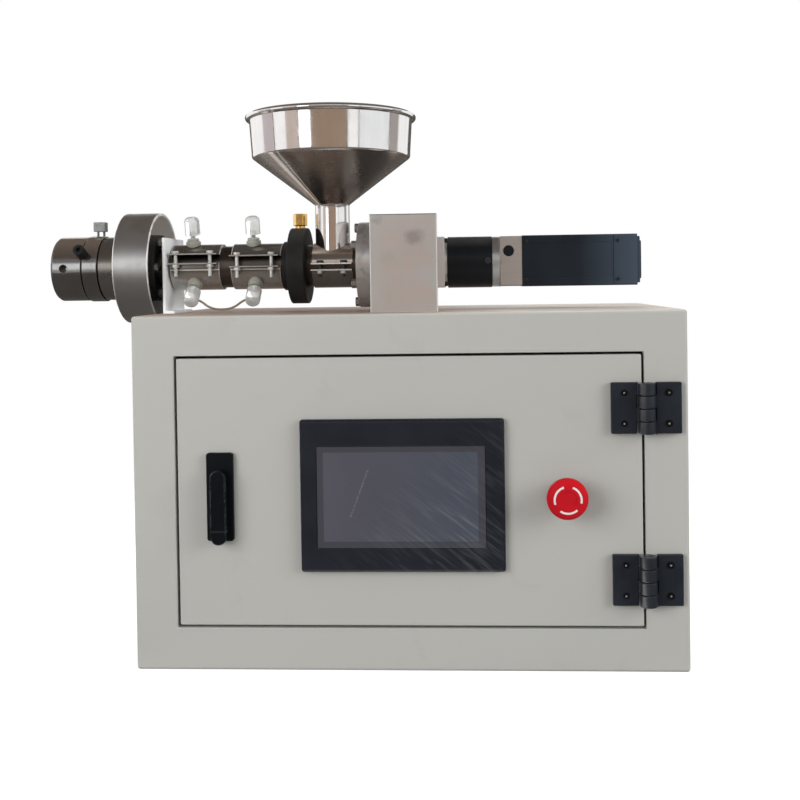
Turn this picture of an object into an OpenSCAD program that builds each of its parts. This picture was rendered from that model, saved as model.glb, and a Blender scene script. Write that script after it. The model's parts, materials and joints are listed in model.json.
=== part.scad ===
// Laboratory extruder: a bench cabinet with a hinged door, and a short horizontal
// extruder on top with hopper, heated barrel, die, bearing block, reducer and motor.
// Millimetres. Origin at the middle of the cabinet underside, front towards -Y,
// the die towards -X, up is +Z.

/* [Cabinet] */
// Cabinet width, left to right
cab_w = 550; // [530:1:600]
// Cabinet height
cab_h = 355; // [340:1:400]
// Cabinet depth, front to back
cab_d = 300; // [280:1:360]
// Thickness of the sheet walls
sheet_t = 2; // [1.5:0.5:3]
// Radius of the folded outer edges
edge_r = 3; // [2:0.5:4]
// Width of the front frame beside the doorway
frame_w = 42.5; // [41:0.5:46]
// Thickness of the folded front frame
frame_t = 15; // [12:1:20]

/* [Door] */
// Gap between door and frame
door_gap = 2.5; // [2:0.5:3.5]
// Depth of the door pan
door_t = 15; // [12:1:18]
// Width of each hinge, both leaves
hinge_w = 68; // [64:1:72]
// Height of each hinge
hinge_h = 50; // [44:1:56]
// Thickness of the hinge leaves
leaf_t = 6; // [5:0.5:6.5]
// Diameter of the hinge knuckles
knuckle_d = 16.5; // [14:0.5:16.5]
// Distance from door top to the middle of the upper hinge
hinge_top = 52; // [45:1:70]
// Distance from door bottom to the middle of the lower hinge
hinge_low = 47; // [45:1:70]

/* [Door fittings] */
// Width of the operator panel
panel_w = 202; // [190:1:215]
// Height of the operator panel
panel_h = 151; // [140:1:160]
// How far the operator panel stands proud of the door
panel_t = 7; // [5:0.5:10]
// Width of the screen window
screen_w = 167; // [150:1:172]
// Height of the screen window
screen_h = 101; // [90:1:110]
// Diameter of the stop button head
stop_d = 40; // [36:1:44]
// Gap between the operator panel and the stop button
stop_gap = 39; // [30:1:48]
// Travel of the stop button
stop_travel = 4; // [3:0.5:5]
// Width of the handle plate
handle_w = 27; // [25:1:32]
// Height of the handle plate
handle_h = 88; // [84:1:100]
// Length of the handle lever
lever_l = 74; // [66:1:76]
// Width of the handle lever
lever_w = 16; // [14:1:18]

/* [Extruder] */
// Height of the extruder axis above the cabinet top
axis_h = 50; // [48:1:60]
// Distance of the extruder axis behind the cabinet front
axis_back = 120; // [110:1:135]
// Barrel diameter
barrel_d = 45.5; // [42:0.5:46]
// Thickness of the heater bands
band_t = 2.3; // [1.5:0.1:2.5]
// Length of one heater band
band_l = 54.5; // [50:0.5:56]
// Bare barrel between the heater bands
band_gap = 12.5; // [11:0.5:16]
// Diameter of the cooling ring
cool_d = 83; // [76:1:90]
// Thickness of the cooling ring
cool_t = 18.5; // [15:0.5:22]
// Bare length of the feed zone between cooling ring and flange
feed_l = 56.5; // [54:0.5:60]
// Diameter of the die head
die_d = 70.5; // [66:0.5:73]
// Length of the die head in front of its groove
die_l = 35; // [28:1:38]
// Outer diameter of the shroud drum
drum_d = 121; // [114:1:124]
// Length of the shroud drum
drum_l = 38; // [34:1:44]
// Wall of the shroud drum
drum_t = 3; // [2:0.5:4]

/* [Hopper] */
// Outer diameter over the rolled rim
rim_d = 190; // [170:1:200]
// Height of the upright hopper wall
wall_h = 44; // [36:0.5:50]
// Height of the hopper cone
cone_h = 51.5; // [46:0.5:56]
// Neck diameter
neck_d = 37.5; // [34:0.5:38]
// Thickness of the hopper sheet
hop_t = 1.5; // [1:0.1:2]

/* [Drive] */
// Width of the bearing block along the axis
block_w = 62; // [56:1:64]
// Height of the bearing block
block_h = 99; // [97:1:112]
// Depth of the bearing block
block_d = 150; // [145:1:165]
// Width of the plate at the front of the block
face_w = 67.7; // [65:0.1:70]
// Thickness of the plate at the front of the block
face_t = 12; // [8:1:16]
// Distance of the front plate behind the cabinet front
face_in = 20; // [10:1:25]
// Diameter of the round flange
flange_d = 93; // [88:1:94]
// Thickness of the round flange
flange_t = 20.5; // [18:0.5:24]
// Diameter of the reducer body
reducer_d = 55.5; // [50:0.5:57]
// Length of the reducer body
reducer_l = 48; // [40:0.5:52]
// Width of the square motor
motor_w = 54.5; // [50:0.5:57]
// Length of the motor body
motor_l = 96; // [70:1:100]
// Length of the motor end cover
cover_l = 30.5; // [26:0.5:36]

/* [Hidden] */
$fn = 64;
e = 0.01;
front = -cab_d / 2;
top = cab_h;
left = -cab_w / 2;
axis_y = front + axis_back;
axis_z = top + axis_h;
bar_r = barrel_d / 2;
band_r = bar_r + band_t;
// Doorway and door
way_w = cab_w - 2 * frame_w;
way_z0 = frame_w;
way_z1 = cab_h - frame_w + 2;
door_w = way_w - 2 * door_gap;
door_z0 = way_z0 + door_gap;
door_z1 = way_z1 - door_gap;
door_mid = (way_z0 + way_z1) / 2 - 3;
// Hinge pin line, in front of the face
pin_x = way_w / 2 + 1.2;
pin_y = front - 8.5;
pin_r = 3;
pin_play = 0.05;
hinge_zs = [door_z1 - hinge_top, door_z0 + hinge_low];
knuckle_gap = 0.6;
knuckle_h = hinge_h / 4;
// Operator panel, stop button, handle
panel_x = -door_w / 92;
panel_c = 2;
stop_x = panel_x + panel_w / 2 + stop_gap + stop_d / 2;
stem_r = 7;
stem_play = 0.5;
collar_t = 6;
head_under = collar_t + stop_travel + 5.5;
head_t = 15;
handle_x = 43.5 - door_w / 2;
plate_t = 5;
lever_gap = 1;
lever_t = 9;
handle_z0 = door_mid - handle_h / 2 - 1;
pivot_z = handle_z0 - 2 + lever_l - lever_w / 2;
// Positions along the extruder axis, from left to right
drum_x1 = left - 0.8;
drum_x0 = drum_x1 - drum_l;
dflange_x1 = drum_x1 - 1;
dflange_t = 14;
dflange_r = 36.5;
support_x = left + 8.5;
support_t = 3;
support_w = 74;
support_h = axis_h + 32;
band1_x = support_x + support_t + 1.5;
band2_x = band1_x + band_l + band_gap;
bolt_out = 29.5;
tail1 = 13;
tail2 = 11;
foot_l = 12;
foot_t = 3;
collar_x = band2_x + band_l + 1;
collar_l = 8;
cool_x = collar_x + collar_l;
feed_x = cool_x + cool_t;
flange_x = feed_x + feed_l;
block_x = flange_x + flange_t;
rflange_x = block_x + block_w;
rflange_t = 11;
ring1_x = rflange_x + rflange_t;
ring1_t = 3;
reducer_x = ring1_x + ring1_t;
ring2_x = reducer_x + reducer_l;
ring2_t = 8.5;
// Height of the drive above the barrel axis
drive_up = 1.2;
adapter_x = ring2_x + ring2_t;
adapter_t = 23.5;
motor_x = adapter_x + adapter_t;
cover_x = motor_x + motor_l;
// Die side, to the left of the drum
dheat_x1 = drum_x0 - 1;
dheat_l = 23.5;
dring_x1 = dheat_x1 - dheat_l - 1;
dring_l = 16.5;
die_x1 = dring_x1 - dring_l;
die_x0 = die_x1 - die_l;
die_core_r = die_d / 2 - 4;
die_neck_r = 24;
die_hole_r = 5;
// Heater clamp tabs: height above the axis of upper and lower tab
tab_t = 1.5;
tab_out = 33;
tabs1 = [13.2, 2.8];
tabs2 = [10.8, -1.2];
// Terminals on the heater bands: x offset from band start, lean from straight up
upper_dx = 22;
lower_dx = 26;
upper_a = 14;
lower_a = 135;
bead_r = 8;
cap_r = 7.3;
cap_in = 37;
cap_out = 55;
// Hopper clamp on the feed zone
hop_x = feed_x + 26.6;
saddle_t = 1.8;
saddle_r = bar_r + saddle_t;
saddle_l = 44;
saddle_x = hop_x - 20;
saddle_z = 0.8;
clamp_z = -4.6;
neck_r = neck_d / 2;
rim_bead = 2.5;
rim_r = rim_d / 2 - rim_bead;
cone_r = rim_r - 6.7;
neck_z = axis_z + 66;
cone_z = neck_z + cone_h;
rim_z = cone_z + wall_h;
throat_r = neck_r - hop_t - 1;
// Lead between the lower terminal caps, about 2.4 mm thick
lead_r = 1.2;
lead_a = band1_x + lower_dx;
lead_b = band2_x + lower_dx;
lead_y = axis_y - 35;
lead_out = cap_r + 0.05;
lead_pts = [
    [lead_a + lead_out, lead_y, axis_z - 36.4],
    [lead_a + lead_out + 1.2, lead_y, axis_z - 36.4],
    [lead_a + 13, lead_y - 0.8, axis_z - 38.8],
    [lead_a + 18, lead_y - 1.6, axis_z - 42.4],
    [lead_a + 25, lead_y - 2, axis_z - 45.2],
    [lead_a + 33, lead_y - 2, axis_z - 46],
    [lead_b - 25, lead_y - 2, axis_z - 45.2],
    [lead_b - 18, lead_y - 1.6, axis_z - 42.4],
    [lead_b - 13, lead_y - 0.8, axis_z - 38.8],
    [lead_b - lead_out - 1.2, lead_y, axis_z - 36.4],
    [lead_b - lead_out, lead_y, axis_z - 36.4]
];

// Rounded rectangle in the XY plane, centred
module round_rect(w, h, r) {
    square([w - 2 * r, h], center = true);
    square([w, h - 2 * r], center = true);
    for (sx = [-1, 1])
        for (sy = [-1, 1])
            translate([sx * (w / 2 - r), sy * (h / 2 - r)]) circle(r);
}

// Round bar along X from x0 to x1 on the extruder axis
module bar_x(x0, x1, r) {
    translate([x0, axis_y, axis_z])
        rotate([0, 90, 0])
            cylinder(r = r, h = x1 - x0);
}

// Tube along X on the extruder axis
module tube_x(x0, x1, r, bore) {
    difference() {
        bar_x(x0, x1, r);
        bar_x(x0 - 1, x1 + 1, bore);
    }
}

// Square bar along X on the extruder axis with rounded corners
module square_x(x0, x1, w, r) {
    translate([x0, axis_y, axis_z])
        rotate([90, 0, 90])
            linear_extrude(x1 - x0) round_rect(w, w, r);
}

// Box from low corner to high corner
module box(a, b) {
    translate(a) cube([b[0] - a[0], b[1] - a[1], b[2] - a[2]]);
}

// Hexagon bolt along X with its head at x0 pointing to -X or +X
module hex_x(x, y, z, af, h) {
    translate([x, y, z])
        rotate([0, 90, 0])
            cylinder(d = af / cos(30), h = h, $fn = 6);
}

// Whole outer form of the cabinet with folded round edges
module cabinet_form() {
    intersection() {
        linear_extrude(cab_h) round_rect(cab_w, cab_d, edge_r);
        translate([-cab_w, 0, cab_h / 2])
            rotate([90, 0, 90])
                linear_extrude(2 * cab_w) round_rect(cab_d, cab_h, edge_r);
        translate([0, cab_d, cab_h / 2])
            rotate([90, 0, 0])
                linear_extrude(2 * cab_d) round_rect(cab_w, cab_h, edge_r);
    }
}

// Piece of the cabinet between two corners
module cabinet_piece(a, b) {
    intersection() {
        cabinet_form();
        box(a, b);
    }
}

module cabinet_top() {
    color([0.70, 0.69, 0.66])
        cabinet_piece([left - 1, front + frame_t, top - sheet_t], [-left + 1, -front + 1, top + 1]);
}

module cabinet_bottom() {
    color([0.70, 0.69, 0.66])
        cabinet_piece([left - 1, front + frame_t, -1], [-left + 1, -front + 1, sheet_t]);
}

module cabinet_side_walls() {
    color([0.70, 0.69, 0.66]) {
        cabinet_piece([left - 1, front + frame_t, sheet_t], [left + sheet_t, -front + 1, top - sheet_t]);
        cabinet_piece([-left - sheet_t, front + frame_t, sheet_t], [-left + 1, -front + 1, top - sheet_t]);
    }
}

module cabinet_back_wall() {
    color([0.70, 0.69, 0.66])
        cabinet_piece([left + sheet_t, -front - sheet_t, sheet_t],
                      [-left - sheet_t, -front + 1, top - sheet_t]);
}

// Front frame over and under the doorway
module frame_rails() {
    color([0.70, 0.69, 0.66]) {
        cabinet_piece([left - 1, front - 1, way_z1], [-left + 1, front + frame_t, top + 1]);
        cabinet_piece([left - 1, front - 1, -1], [-left + 1, front + frame_t, way_z0]);
    }
}

// Front frame beside the doorway
module frame_stiles() {
    color([0.70, 0.69, 0.66]) {
        cabinet_piece([left - 1, front - 1, way_z0], [-way_w / 2, front + frame_t, way_z1]);
        cabinet_piece([way_w / 2, front - 1, way_z0], [-left + 1, front + frame_t, way_z1]);
    }
}

// Door pan: flat sheet with folded returns, open to the inside
module door_panel() {
    color([0.71, 0.70, 0.67])
        difference() {
            box([-door_w / 2, front, door_z0], [door_w / 2, front + door_t, door_z1]);
            box([-door_w / 2 + sheet_t, front + sheet_t, door_z0 + sheet_t],
                [door_w / 2 - sheet_t, front + door_t + 1, door_z1 - sheet_t]);
            translate([stop_x, front - 1, door_mid])
                rotate([-90, 0, 0])
                    cylinder(r = stem_r + 3, h = 10);
        }
}

// One hinge leaf; side -1 lies on the door, +1 on the frame
module hinge_leaf(side, zc, first) {
    for (k = [0 : 3]) {
        z0 = zc - hinge_h / 2 + k * knuckle_h + knuckle_gap / 2;
        if ((k + first) % 2 == 0)
            difference() {
                union() {
                    translate([pin_x, pin_y, z0])
                        cylinder(d = knuckle_d, h = knuckle_h - knuckle_gap);
                    box([side < 0 ? pin_x - 11 : pin_x + 3, front - leaf_t, z0],
                        [side < 0 ? pin_x - 3 : pin_x + 11, front - 1, z0 + knuckle_h - knuckle_gap]);
                }
                translate([pin_x, pin_y, z0 - 1])
                    cylinder(r = pin_r + pin_play, h = knuckle_h + 2);
            }
    }
    box([side < 0 ? pin_x - hinge_w / 2 : pin_x + 9.2, front - leaf_t, zc - hinge_h / 2],
        [side < 0 ? pin_x - 9.2 : pin_x + hinge_w / 2, front, zc + hinge_h / 2]);
}

module door_hinge_leaves() {
    color([0.05, 0.05, 0.055])
        for (zc = hinge_zs)
            hinge_leaf(-1, zc, 1);
}

module frame_hinge_leaves() {
    color([0.05, 0.05, 0.055])
        for (zc = hinge_zs)
            hinge_leaf(1, zc, 0);
}

module hinge_pins() {
    color([0.06, 0.06, 0.065])
        for (zc = hinge_zs)
            translate([pin_x, pin_y, zc - hinge_h / 2])
                cylinder(r = pin_r, h = hinge_h);
}

// Side profile of the panel bezel, with chamfered front edges
module bezel_profile(w) {
    polygon([
        [-w / 2, 0],
        [w / 2, 0],
        [w / 2, panel_t - panel_c],
        [w / 2 - panel_c, panel_t],
        [-w / 2 + panel_c, panel_t],
        [-w / 2, panel_t - panel_c]
    ]);
}

// Operator panel: thin bezel with chamfered edges and a screen window
module panel_bezel() {
    color([0.03, 0.035, 0.05])
        translate([panel_x, front, door_mid])
            rotate([90, 0, 0])
                difference() {
                    intersection() {
                        linear_extrude(panel_t) round_rect(panel_w, panel_h, 3);
                        translate([0, panel_h, 0])
                            rotate([90, 0, 0])
                                linear_extrude(2 * panel_h) bezel_profile(panel_w);
                        translate([-panel_w, 0, 0])
                            rotate([90, 0, 90])
                                linear_extrude(2 * panel_w) bezel_profile(panel_h);
                    }
                    translate([-1.1, -1.6, panel_t - 2])
                        linear_extrude(5) round_rect(screen_w, screen_h, 2);
                }
}

module panel_screen() {
    color([0.25, 0.27, 0.31])
        translate([panel_x - 1.1, front - panel_t + 2, door_mid - 1.6])
            rotate([90, 0, 0])
                linear_extrude(1) round_rect(screen_w - 0.6, screen_h - 0.6, 1.7);
}

module stop_collar() {
    color([0.10, 0.10, 0.11])
        translate([stop_x, front, door_mid])
            rotate([90, 0, 0])
                difference() {
                    cylinder(r = 14.5, h = collar_t);
                    translate([0, 0, -1]) cylinder(r = stem_r + stem_play, h = collar_t + 2);
                }
}

module stop_stem() {
    color([0.15, 0.15, 0.16])
        translate([stop_x, front, door_mid])
            rotate([90, 0, 0])
                cylinder(r = stem_r, h = head_under);
}

// Mushroom head: short rim and a shallow dome
module stop_head() {
    color([0.72, 0.03, 0.05])
        translate([stop_x, front - head_under, door_mid])
            rotate([90, 0, 0])
                rotate_extrude()
                    difference() {
                        intersection() {
                            square([stop_d / 2, head_t]);
                            translate([0, head_t - 70]) circle(70, $fn = 180);
                            union() {
                                square([stop_d / 2 - 3, head_t]);
                                square([stop_d / 2, head_t - 5.6]);
                                translate([stop_d / 2 - 3, head_t - 5.6]) circle(3);
                            }
                        }
                        square([e, e]);
                    }
}

module handle_plate() {
    color([0.04, 0.04, 0.045])
        translate([handle_x, front, handle_z0 + handle_h / 2])
            rotate([90, 0, 0])
                difference() {
                    linear_extrude(plate_t) round_rect(handle_w, handle_h, 3);
                    translate([0, pivot_z - handle_z0 - handle_h / 2, -1])
                        cylinder(r = 4 + pin_play, h = plate_t + 2);
                }
}

// Lever with round ends, a hub and the spindle that turns in the plate
module handle_lever() {
    reach = lever_l - lever_w;
    color([0.035, 0.035, 0.04])
        translate([handle_x, front, pivot_z])
            rotate([90, 0, 0])
                union() {
                    translate([0, 0, plate_t + lever_gap])
                        linear_extrude(lever_t)
                            union() {
                                circle(lever_w / 2);
                                translate([-lever_w / 2, -reach]) square([lever_w, reach]);
                                translate([0, -reach]) circle(lever_w / 2);
                            }
                    cylinder(r = 4, h = plate_t + lever_gap + 1);
                }
}

// Upright plate that carries the barrel, with a foot
module barrel_support() {
    color([0.80, 0.81, 0.83])
        difference() {
            union() {
                box([support_x, axis_y - support_w / 2, top],
                    [support_x + support_t, axis_y + support_w / 2, top + support_h]);
                box([support_x, axis_y - support_w / 2, top],
                    [support_x + foot_l, axis_y + support_w / 2, top + foot_t]);
            }
            bar_x(support_x - 1, support_x + support_t + 1, bar_r);
        }
}

// Barrel from the die flange to the block flange, with the feed throat
module barrel() {
    color([0.24, 0.23, 0.22])
        difference() {
            bar_x(dflange_x1, flange_x, bar_r);
            translate([hop_x, axis_y, axis_z - 4])
                cylinder(r = throat_r, h = bar_r + 10);
        }
}

// Heater band with an open slot at the front and two clamp tabs
module heater_band(x0, tabs) {
    difference() {
        tube_x(x0, x0 + band_l, band_r, bar_r);
        box([x0 - 1, axis_y - 60, axis_z + tabs[1] + tab_t],
            [x0 + band_l + 1, axis_y, axis_z + tabs[0]]);
    }
    for (t = tabs)
        difference() {
            box([x0, axis_y - tab_out, axis_z + t],
                [x0 + band_l - 1, axis_y - 12, axis_z + t + tab_t]);
            bar_x(x0 - 1, x0 + band_l + 1, bar_r);
            for (dx = [8, band_l - 9])
                translate([x0 + dx, axis_y - 29.5, axis_z + t - 1])
                    cylinder(r = 2.2, h = tab_t + 2);
        }
}

module heater_bands() {
    color([0.27, 0.25, 0.23]) {
        heater_band(band1_x, tabs1);
        heater_band(band2_x, tabs2);
    }
}

// Clamp bolt: head on the upper tab, nut under the lower tab
module clamp_bolt(x, y, zu, zl, tail) {
    translate([x, y, axis_z + zl - tail])
        cylinder(r = 1.9, h = zu - zl + tail + 1);
    translate([x, y, axis_z + zu])
        cylinder(d = 7.4, h = 2.8);
    translate([x, y, axis_z + zl - 3.2])
        cylinder(d = 7 / cos(30), h = 3.2, $fn = 6);
}

// Bolts of the heater bands and of the hopper clamp
module clamp_bolts() {
    color([0.72, 0.72, 0.70]) {
        for (dx = [8, band_l - 9]) {
            clamp_bolt(band1_x + dx, axis_y - bolt_out, tabs1[0] + tab_t, tabs1[1], tail1);
            clamp_bolt(band2_x + dx, axis_y - bolt_out, tabs2[0] + tab_t, tabs2[1], tail2);
        }
        for (dx = [9.5, saddle_l - 9])
            for (s = [-1, 1])
                clamp_bolt(saddle_x + dx, axis_y + s * 28.5, saddle_z + tab_t, clamp_z - tab_t, 7);
    }
}

// Places children on a heater band: local Z points away from the barrel
module on_band(x, lean) {
    translate([x, axis_y, axis_z])
        rotate([lean, 0, 0])
            children();
}

// Places children at all four heater terminals
module at_terminals() {
    for (x0 = [band1_x, band2_x]) {
        on_band(x0 + upper_dx, upper_a) children();
        on_band(x0 + lower_dx, lower_a) children();
    }
}

// Porcelain beads, cut to sit on the round band
module terminal_beads() {
    color([0.86, 0.85, 0.80])
        difference() {
            at_terminals()
                union() {
                    translate([0, 0, band_r - 2]) cylinder(r = bead_r, h = 6);
                    translate([0, 0, band_r + 3]) cylinder(r = bead_r - 1.6, h = 4);
                }
            bar_x(band1_x - 1, band2_x + band_l + 1, band_r);
        }
}

module terminal_pins() {
    color([0.45, 0.43, 0.38])
        at_terminals()
            translate([0, 0, band_r + 7])
                cylinder(r = 2.5, h = cap_in - band_r - 7);
}

// Clear silicone caps with a rounded closed end
module terminal_caps() {
    color([0.88, 0.88, 0.86])
        at_terminals()
            rotate_extrude()
                difference() {
                    union() {
                        translate([0, cap_in]) square([cap_r, cap_out - cap_in - 5]);
                        translate([0, cap_out - 6]) square([cap_r - 5, 6]);
                        translate([cap_r - 5, cap_out - 5]) circle(5);
                    }
                    translate([-10, 0]) square([10, 100]);
                }
}

// Lead between the two lower caps, swept with eight sides
module jumper_lead() {
    n = len(lead_pts);
    sides = 8;
    pts = [
        for (i = [0 : n - 1])
            let (a = lead_pts[max(i - 1, 0)])
            let (b = lead_pts[min(i + 1, n - 1)])
            let (t = (b - a) / norm(b - a))
            let (s = cross(t, [0, 1, 0]))
            let (u = s / norm(s))
            let (v = cross(t, u))
            for (k = [0 : sides - 1])
                lead_pts[i] + lead_r * (u * cos(k * 360 / sides) + v * sin(k * 360 / sides))
    ];
    sidefaces = [
        for (i = [0 : n - 2])
            for (k = [0 : sides - 1])
                [i * sides + k, i * sides + (k + 1) % sides,
                 (i + 1) * sides + (k + 1) % sides, (i + 1) * sides + k]
    ];
    first = [for (k = [0 : sides - 1]) sides - 1 - k];
    last = [for (k = [0 : sides - 1]) (n - 1) * sides + k];
    color([0.55, 0.47, 0.38])
        polyhedron(points = pts, faces = concat(sidefaces, [first, last]));
}

module barrel_collar() {
    color([0.12, 0.12, 0.12])
        tube_x(collar_x, cool_x, bar_r + 4, bar_r);
}

// Black cooling ring round the barrel
module cooling_ring() {
    color([0.06, 0.06, 0.06])
        difference() {
            tube_x(cool_x, feed_x, cool_d / 2, bar_r);
            translate([cool_x + cool_t / 2, axis_y, axis_z + cool_d / 2 - 3])
                cylinder(r = 5.5, h = 10);
        }
}

// Brass push-in fitting on top of the cooling ring
module brass_fitting() {
    translate([cool_x + cool_t / 2, axis_y, axis_z + cool_d / 2 - 3])
        color([0.72, 0.52, 0.20])
            difference() {
                union() {
                    cylinder(r = 5.5, h = 6);
                    translate([0, 0, 5.5]) cylinder(d = 14 / cos(30), h = 13, $fn = 6);
                }
                translate([0, 0, 8]) cylinder(r = 4, h = 20);
            }
}

// Half shell round the barrel with tabs front and back
module half_shell(x0, z, upper) {
    lo = upper ? axis_z + z : axis_z - 60;
    hi = upper ? axis_z + 60 : axis_z + z;
    tab = upper ? axis_z + z : axis_z + z - tab_t;
    difference() {
        intersection() {
            tube_x(x0, x0 + saddle_l, saddle_r, bar_r);
            box([x0 - 1, axis_y - 60, lo], [x0 + saddle_l + 1, axis_y + 60, hi]);
        }
        translate([hop_x, axis_y, axis_z]) cylinder(r = throat_r + 1, h = 60);
    }
    for (s = [-1, 1])
        difference() {
            box([x0, s < 0 ? axis_y - tab_out : axis_y + 18, tab],
                [x0 + saddle_l, s < 0 ? axis_y - 18 : axis_y + tab_out, tab + tab_t]);
            bar_x(x0 - 1, x0 + saddle_l + 1, bar_r);
            for (dx = [9.5, saddle_l - 9])
                translate([x0 + dx, axis_y + s * 28.5, tab - 1])
                    cylinder(r = 2.2, h = tab_t + 2);
        }
}

module hopper_saddle() {
    color([0.55, 0.52, 0.48]) half_shell(saddle_x, saddle_z, true);
}

module hopper_clamp() {
    color([0.30, 0.29, 0.27]) half_shell(saddle_x, clamp_z, false);
}

// Upright wall of the spun hopper with its rolled rim
module hopper_wall() {
    color([0.66, 0.64, 0.61])
        translate([hop_x, axis_y, 0])
            rotate_extrude($fn = 180)
                polygon(concat(
                    [[cone_r, cone_z]],
                    [for (a = [-110 : 15 : 205]) [rim_r + rim_bead * cos(a), rim_z + rim_bead * sin(a)]],
                    [[cone_r - hop_t, cone_z]]
                ));
}

// Cone of the hopper between wall and neck
module hopper_cone() {
    color([0.66, 0.64, 0.61])
        translate([hop_x, axis_y, 0])
            rotate_extrude($fn = 180)
                polygon([
                    [cone_r, cone_z],
                    [neck_r, neck_z],
                    [neck_r - hop_t, neck_z],
                    [neck_r - hop_t, neck_z + 0.8],
                    [cone_r - hop_t, cone_z]
                ]);
}

// Neck of the hopper, cut to sit on the round saddle
module hopper_neck() {
    color([0.66, 0.64, 0.61])
        difference() {
            translate([hop_x, axis_y, axis_z + 8])
                cylinder(r = neck_r, h = neck_z - axis_z - 8, $fn = 96);
            translate([hop_x, axis_y, axis_z])
                cylinder(r = neck_r - hop_t, h = neck_z - axis_z + 8, $fn = 96);
            bar_x(saddle_x - 20, saddle_x + saddle_l + 20, saddle_r);
        }
}

module block_flange() {
    color([0.42, 0.41, 0.40])
        bar_x(flange_x, block_x, flange_d / 2);
}

// Hexagon bolts round the block flange and round the flange in the drum
module flange_bolts() {
    color([0.30, 0.29, 0.28])
        for (k = [0 : 5]) {
            hex_x(flange_x - 5.5, axis_y + (flange_d / 2 - 6) * sin(k * 60),
                  axis_z + (flange_d / 2 - 6) * cos(k * 60), 9, 5.5);
            hex_x(dflange_x1, axis_y + 30.5 * sin(k * 60 + 30),
                  axis_z + 30.5 * cos(k * 60 + 30), 9, 4.5);
        }
}

// Upright piece of the block from its front face to depth d
module block_bar(w, d) {
    translate([block_x, front + face_in, top])
        cube([w, d, block_h]);
}

// Aluminium bearing block with a wider plate at its front
module bearing_block() {
    color([0.72, 0.70, 0.69])
        union() {
            block_bar(face_w, face_t);
            block_bar(block_w, block_d);
        }
}

// Square flange of the reducer with its round register
module reducer_flange() {
    color([0.66, 0.62, 0.60])
        translate([0, 0, drive_up])
            union() {
                square_x(rflange_x, ring1_x, motor_w, 2);
                bar_x(ring1_x - 1, reducer_x, reducer_d / 2 - 2.6);
            }
}

module flange_screws() {
    color([0.05, 0.05, 0.05])
        translate([0, 0, drive_up])
            for (sy = [-1, 1])
                for (sz = [-1, 1])
                    translate([ring1_x, axis_y + sy * (motor_w / 2 - 4), axis_z + sz * (motor_w / 2 - 4)])
                        rotate([0, 90, 0])
                            cylinder(d = 5, h = 3.3);
}

module reducer_body() {
    color([0.04, 0.04, 0.05])
        translate([0, 0, drive_up])
            bar_x(reducer_x, ring2_x, reducer_d / 2);
}

// Square adapter with its round ring and a plugged access hole at the front
module motor_adapter() {
    color([0.68, 0.65, 0.63])
        translate([0, 0, drive_up])
            difference() {
                union() {
                    square_x(adapter_x, motor_x, motor_w - 1, 2.5);
                    bar_x(ring2_x, adapter_x + 1, reducer_d / 2 - 0.6);
                }
                translate([adapter_x + 9, axis_y - motor_w, axis_z + 11])
                    rotate([-90, 0, 0])
                        cylinder(r = 5.8, h = motor_w / 2 + 8);
            }
}

module adapter_plug() {
    color([0.04, 0.04, 0.045])
        translate([0, 0, drive_up])
            translate([adapter_x + 9, axis_y - motor_w / 2 + 0.9, axis_z + 11])
                rotate([-90, 0, 0])
                    cylinder(r = 5.8, h = 6);
}

// Square motor with shallow panels sunk into its four sides
module motor_body() {
    color([0.05, 0.06, 0.085])
        translate([0, 0, drive_up])
            difference() {
                square_x(motor_x, cover_x, motor_w, 2.5);
                for (a = [0 : 90 : 270])
                    translate([0, axis_y, axis_z])
                        rotate([a, 0, 0])
                            box([motor_x + 8, -motor_w / 2 - 1, 8 - motor_w / 2],
                                [cover_x - 1, 0.5 - motor_w / 2, motor_w / 2 - 8]);
            }
}

// Motor end cover behind a shadow gap, with a stepped, smaller end
module motor_cover() {
    color([0.05, 0.06, 0.085])
        translate([0, 0, drive_up])
            union() {
                square_x(cover_x, cover_x + 2, motor_w - 1.4, 2);
                square_x(cover_x + 0.8, cover_x + cover_l - 5, motor_w, 2.5);
                square_x(cover_x + cover_l - 5, cover_x + cover_l - 2, motor_w - 5, 3);
                square_x(cover_x + cover_l - 2, cover_x + cover_l, motor_w - 14, 3);
            }
}

// Die: head, groove, core under ring and heater, neck through the drum
module die_body() {
    color([0.26, 0.24, 0.23])
        difference() {
            union() {
                bar_x(die_x0 + 2, die_x1 - 1.5, die_d / 2);
                bar_x(die_x0, die_x0 + 3, die_d / 2 - 1.5);
                bar_x(die_x0 + 2, dheat_x1, die_core_r);
                bar_x(die_x0 + 2, dflange_x1 - dflange_t, die_neck_r);
            }
            bar_x(die_x0 - 1, die_x0 + 40, die_hole_r);
            translate([die_x0 + 14.5, axis_y - die_d, axis_z])
                rotate([-90, 0, 0])
                    cylinder(r = 4.2, h = die_d / 2 + 10);
        }
}

module die_ring() {
    color([0.20, 0.19, 0.18])
        tube_x(die_x1, dring_x1, die_d / 2 + 1, die_core_r);
}

module die_heater() {
    color([0.27, 0.25, 0.23])
        tube_x(dheat_x1 - dheat_l, dheat_x1, die_d / 2 - 0.5, die_core_r);
}

// Black socket screw standing out of the die ring
module die_screw() {
    color([0.03, 0.03, 0.03])
        difference() {
            translate([die_x1, axis_y, axis_z])
                rotate([65, 0, 0])
                    difference() {
                        translate([0, 0, die_d / 2 - 1.5]) cylinder(r = 6, h = 15);
                        translate([0, 0, die_d / 2 + 9.5]) cylinder(d = 5.5 / cos(30), h = 5, $fn = 6);
                    }
            bar_x(die_x1 - 20, die_x1, die_d / 2);
            bar_x(die_x1 - 1, dring_x1 + 1, die_d / 2 + 1);
        }
}

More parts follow.
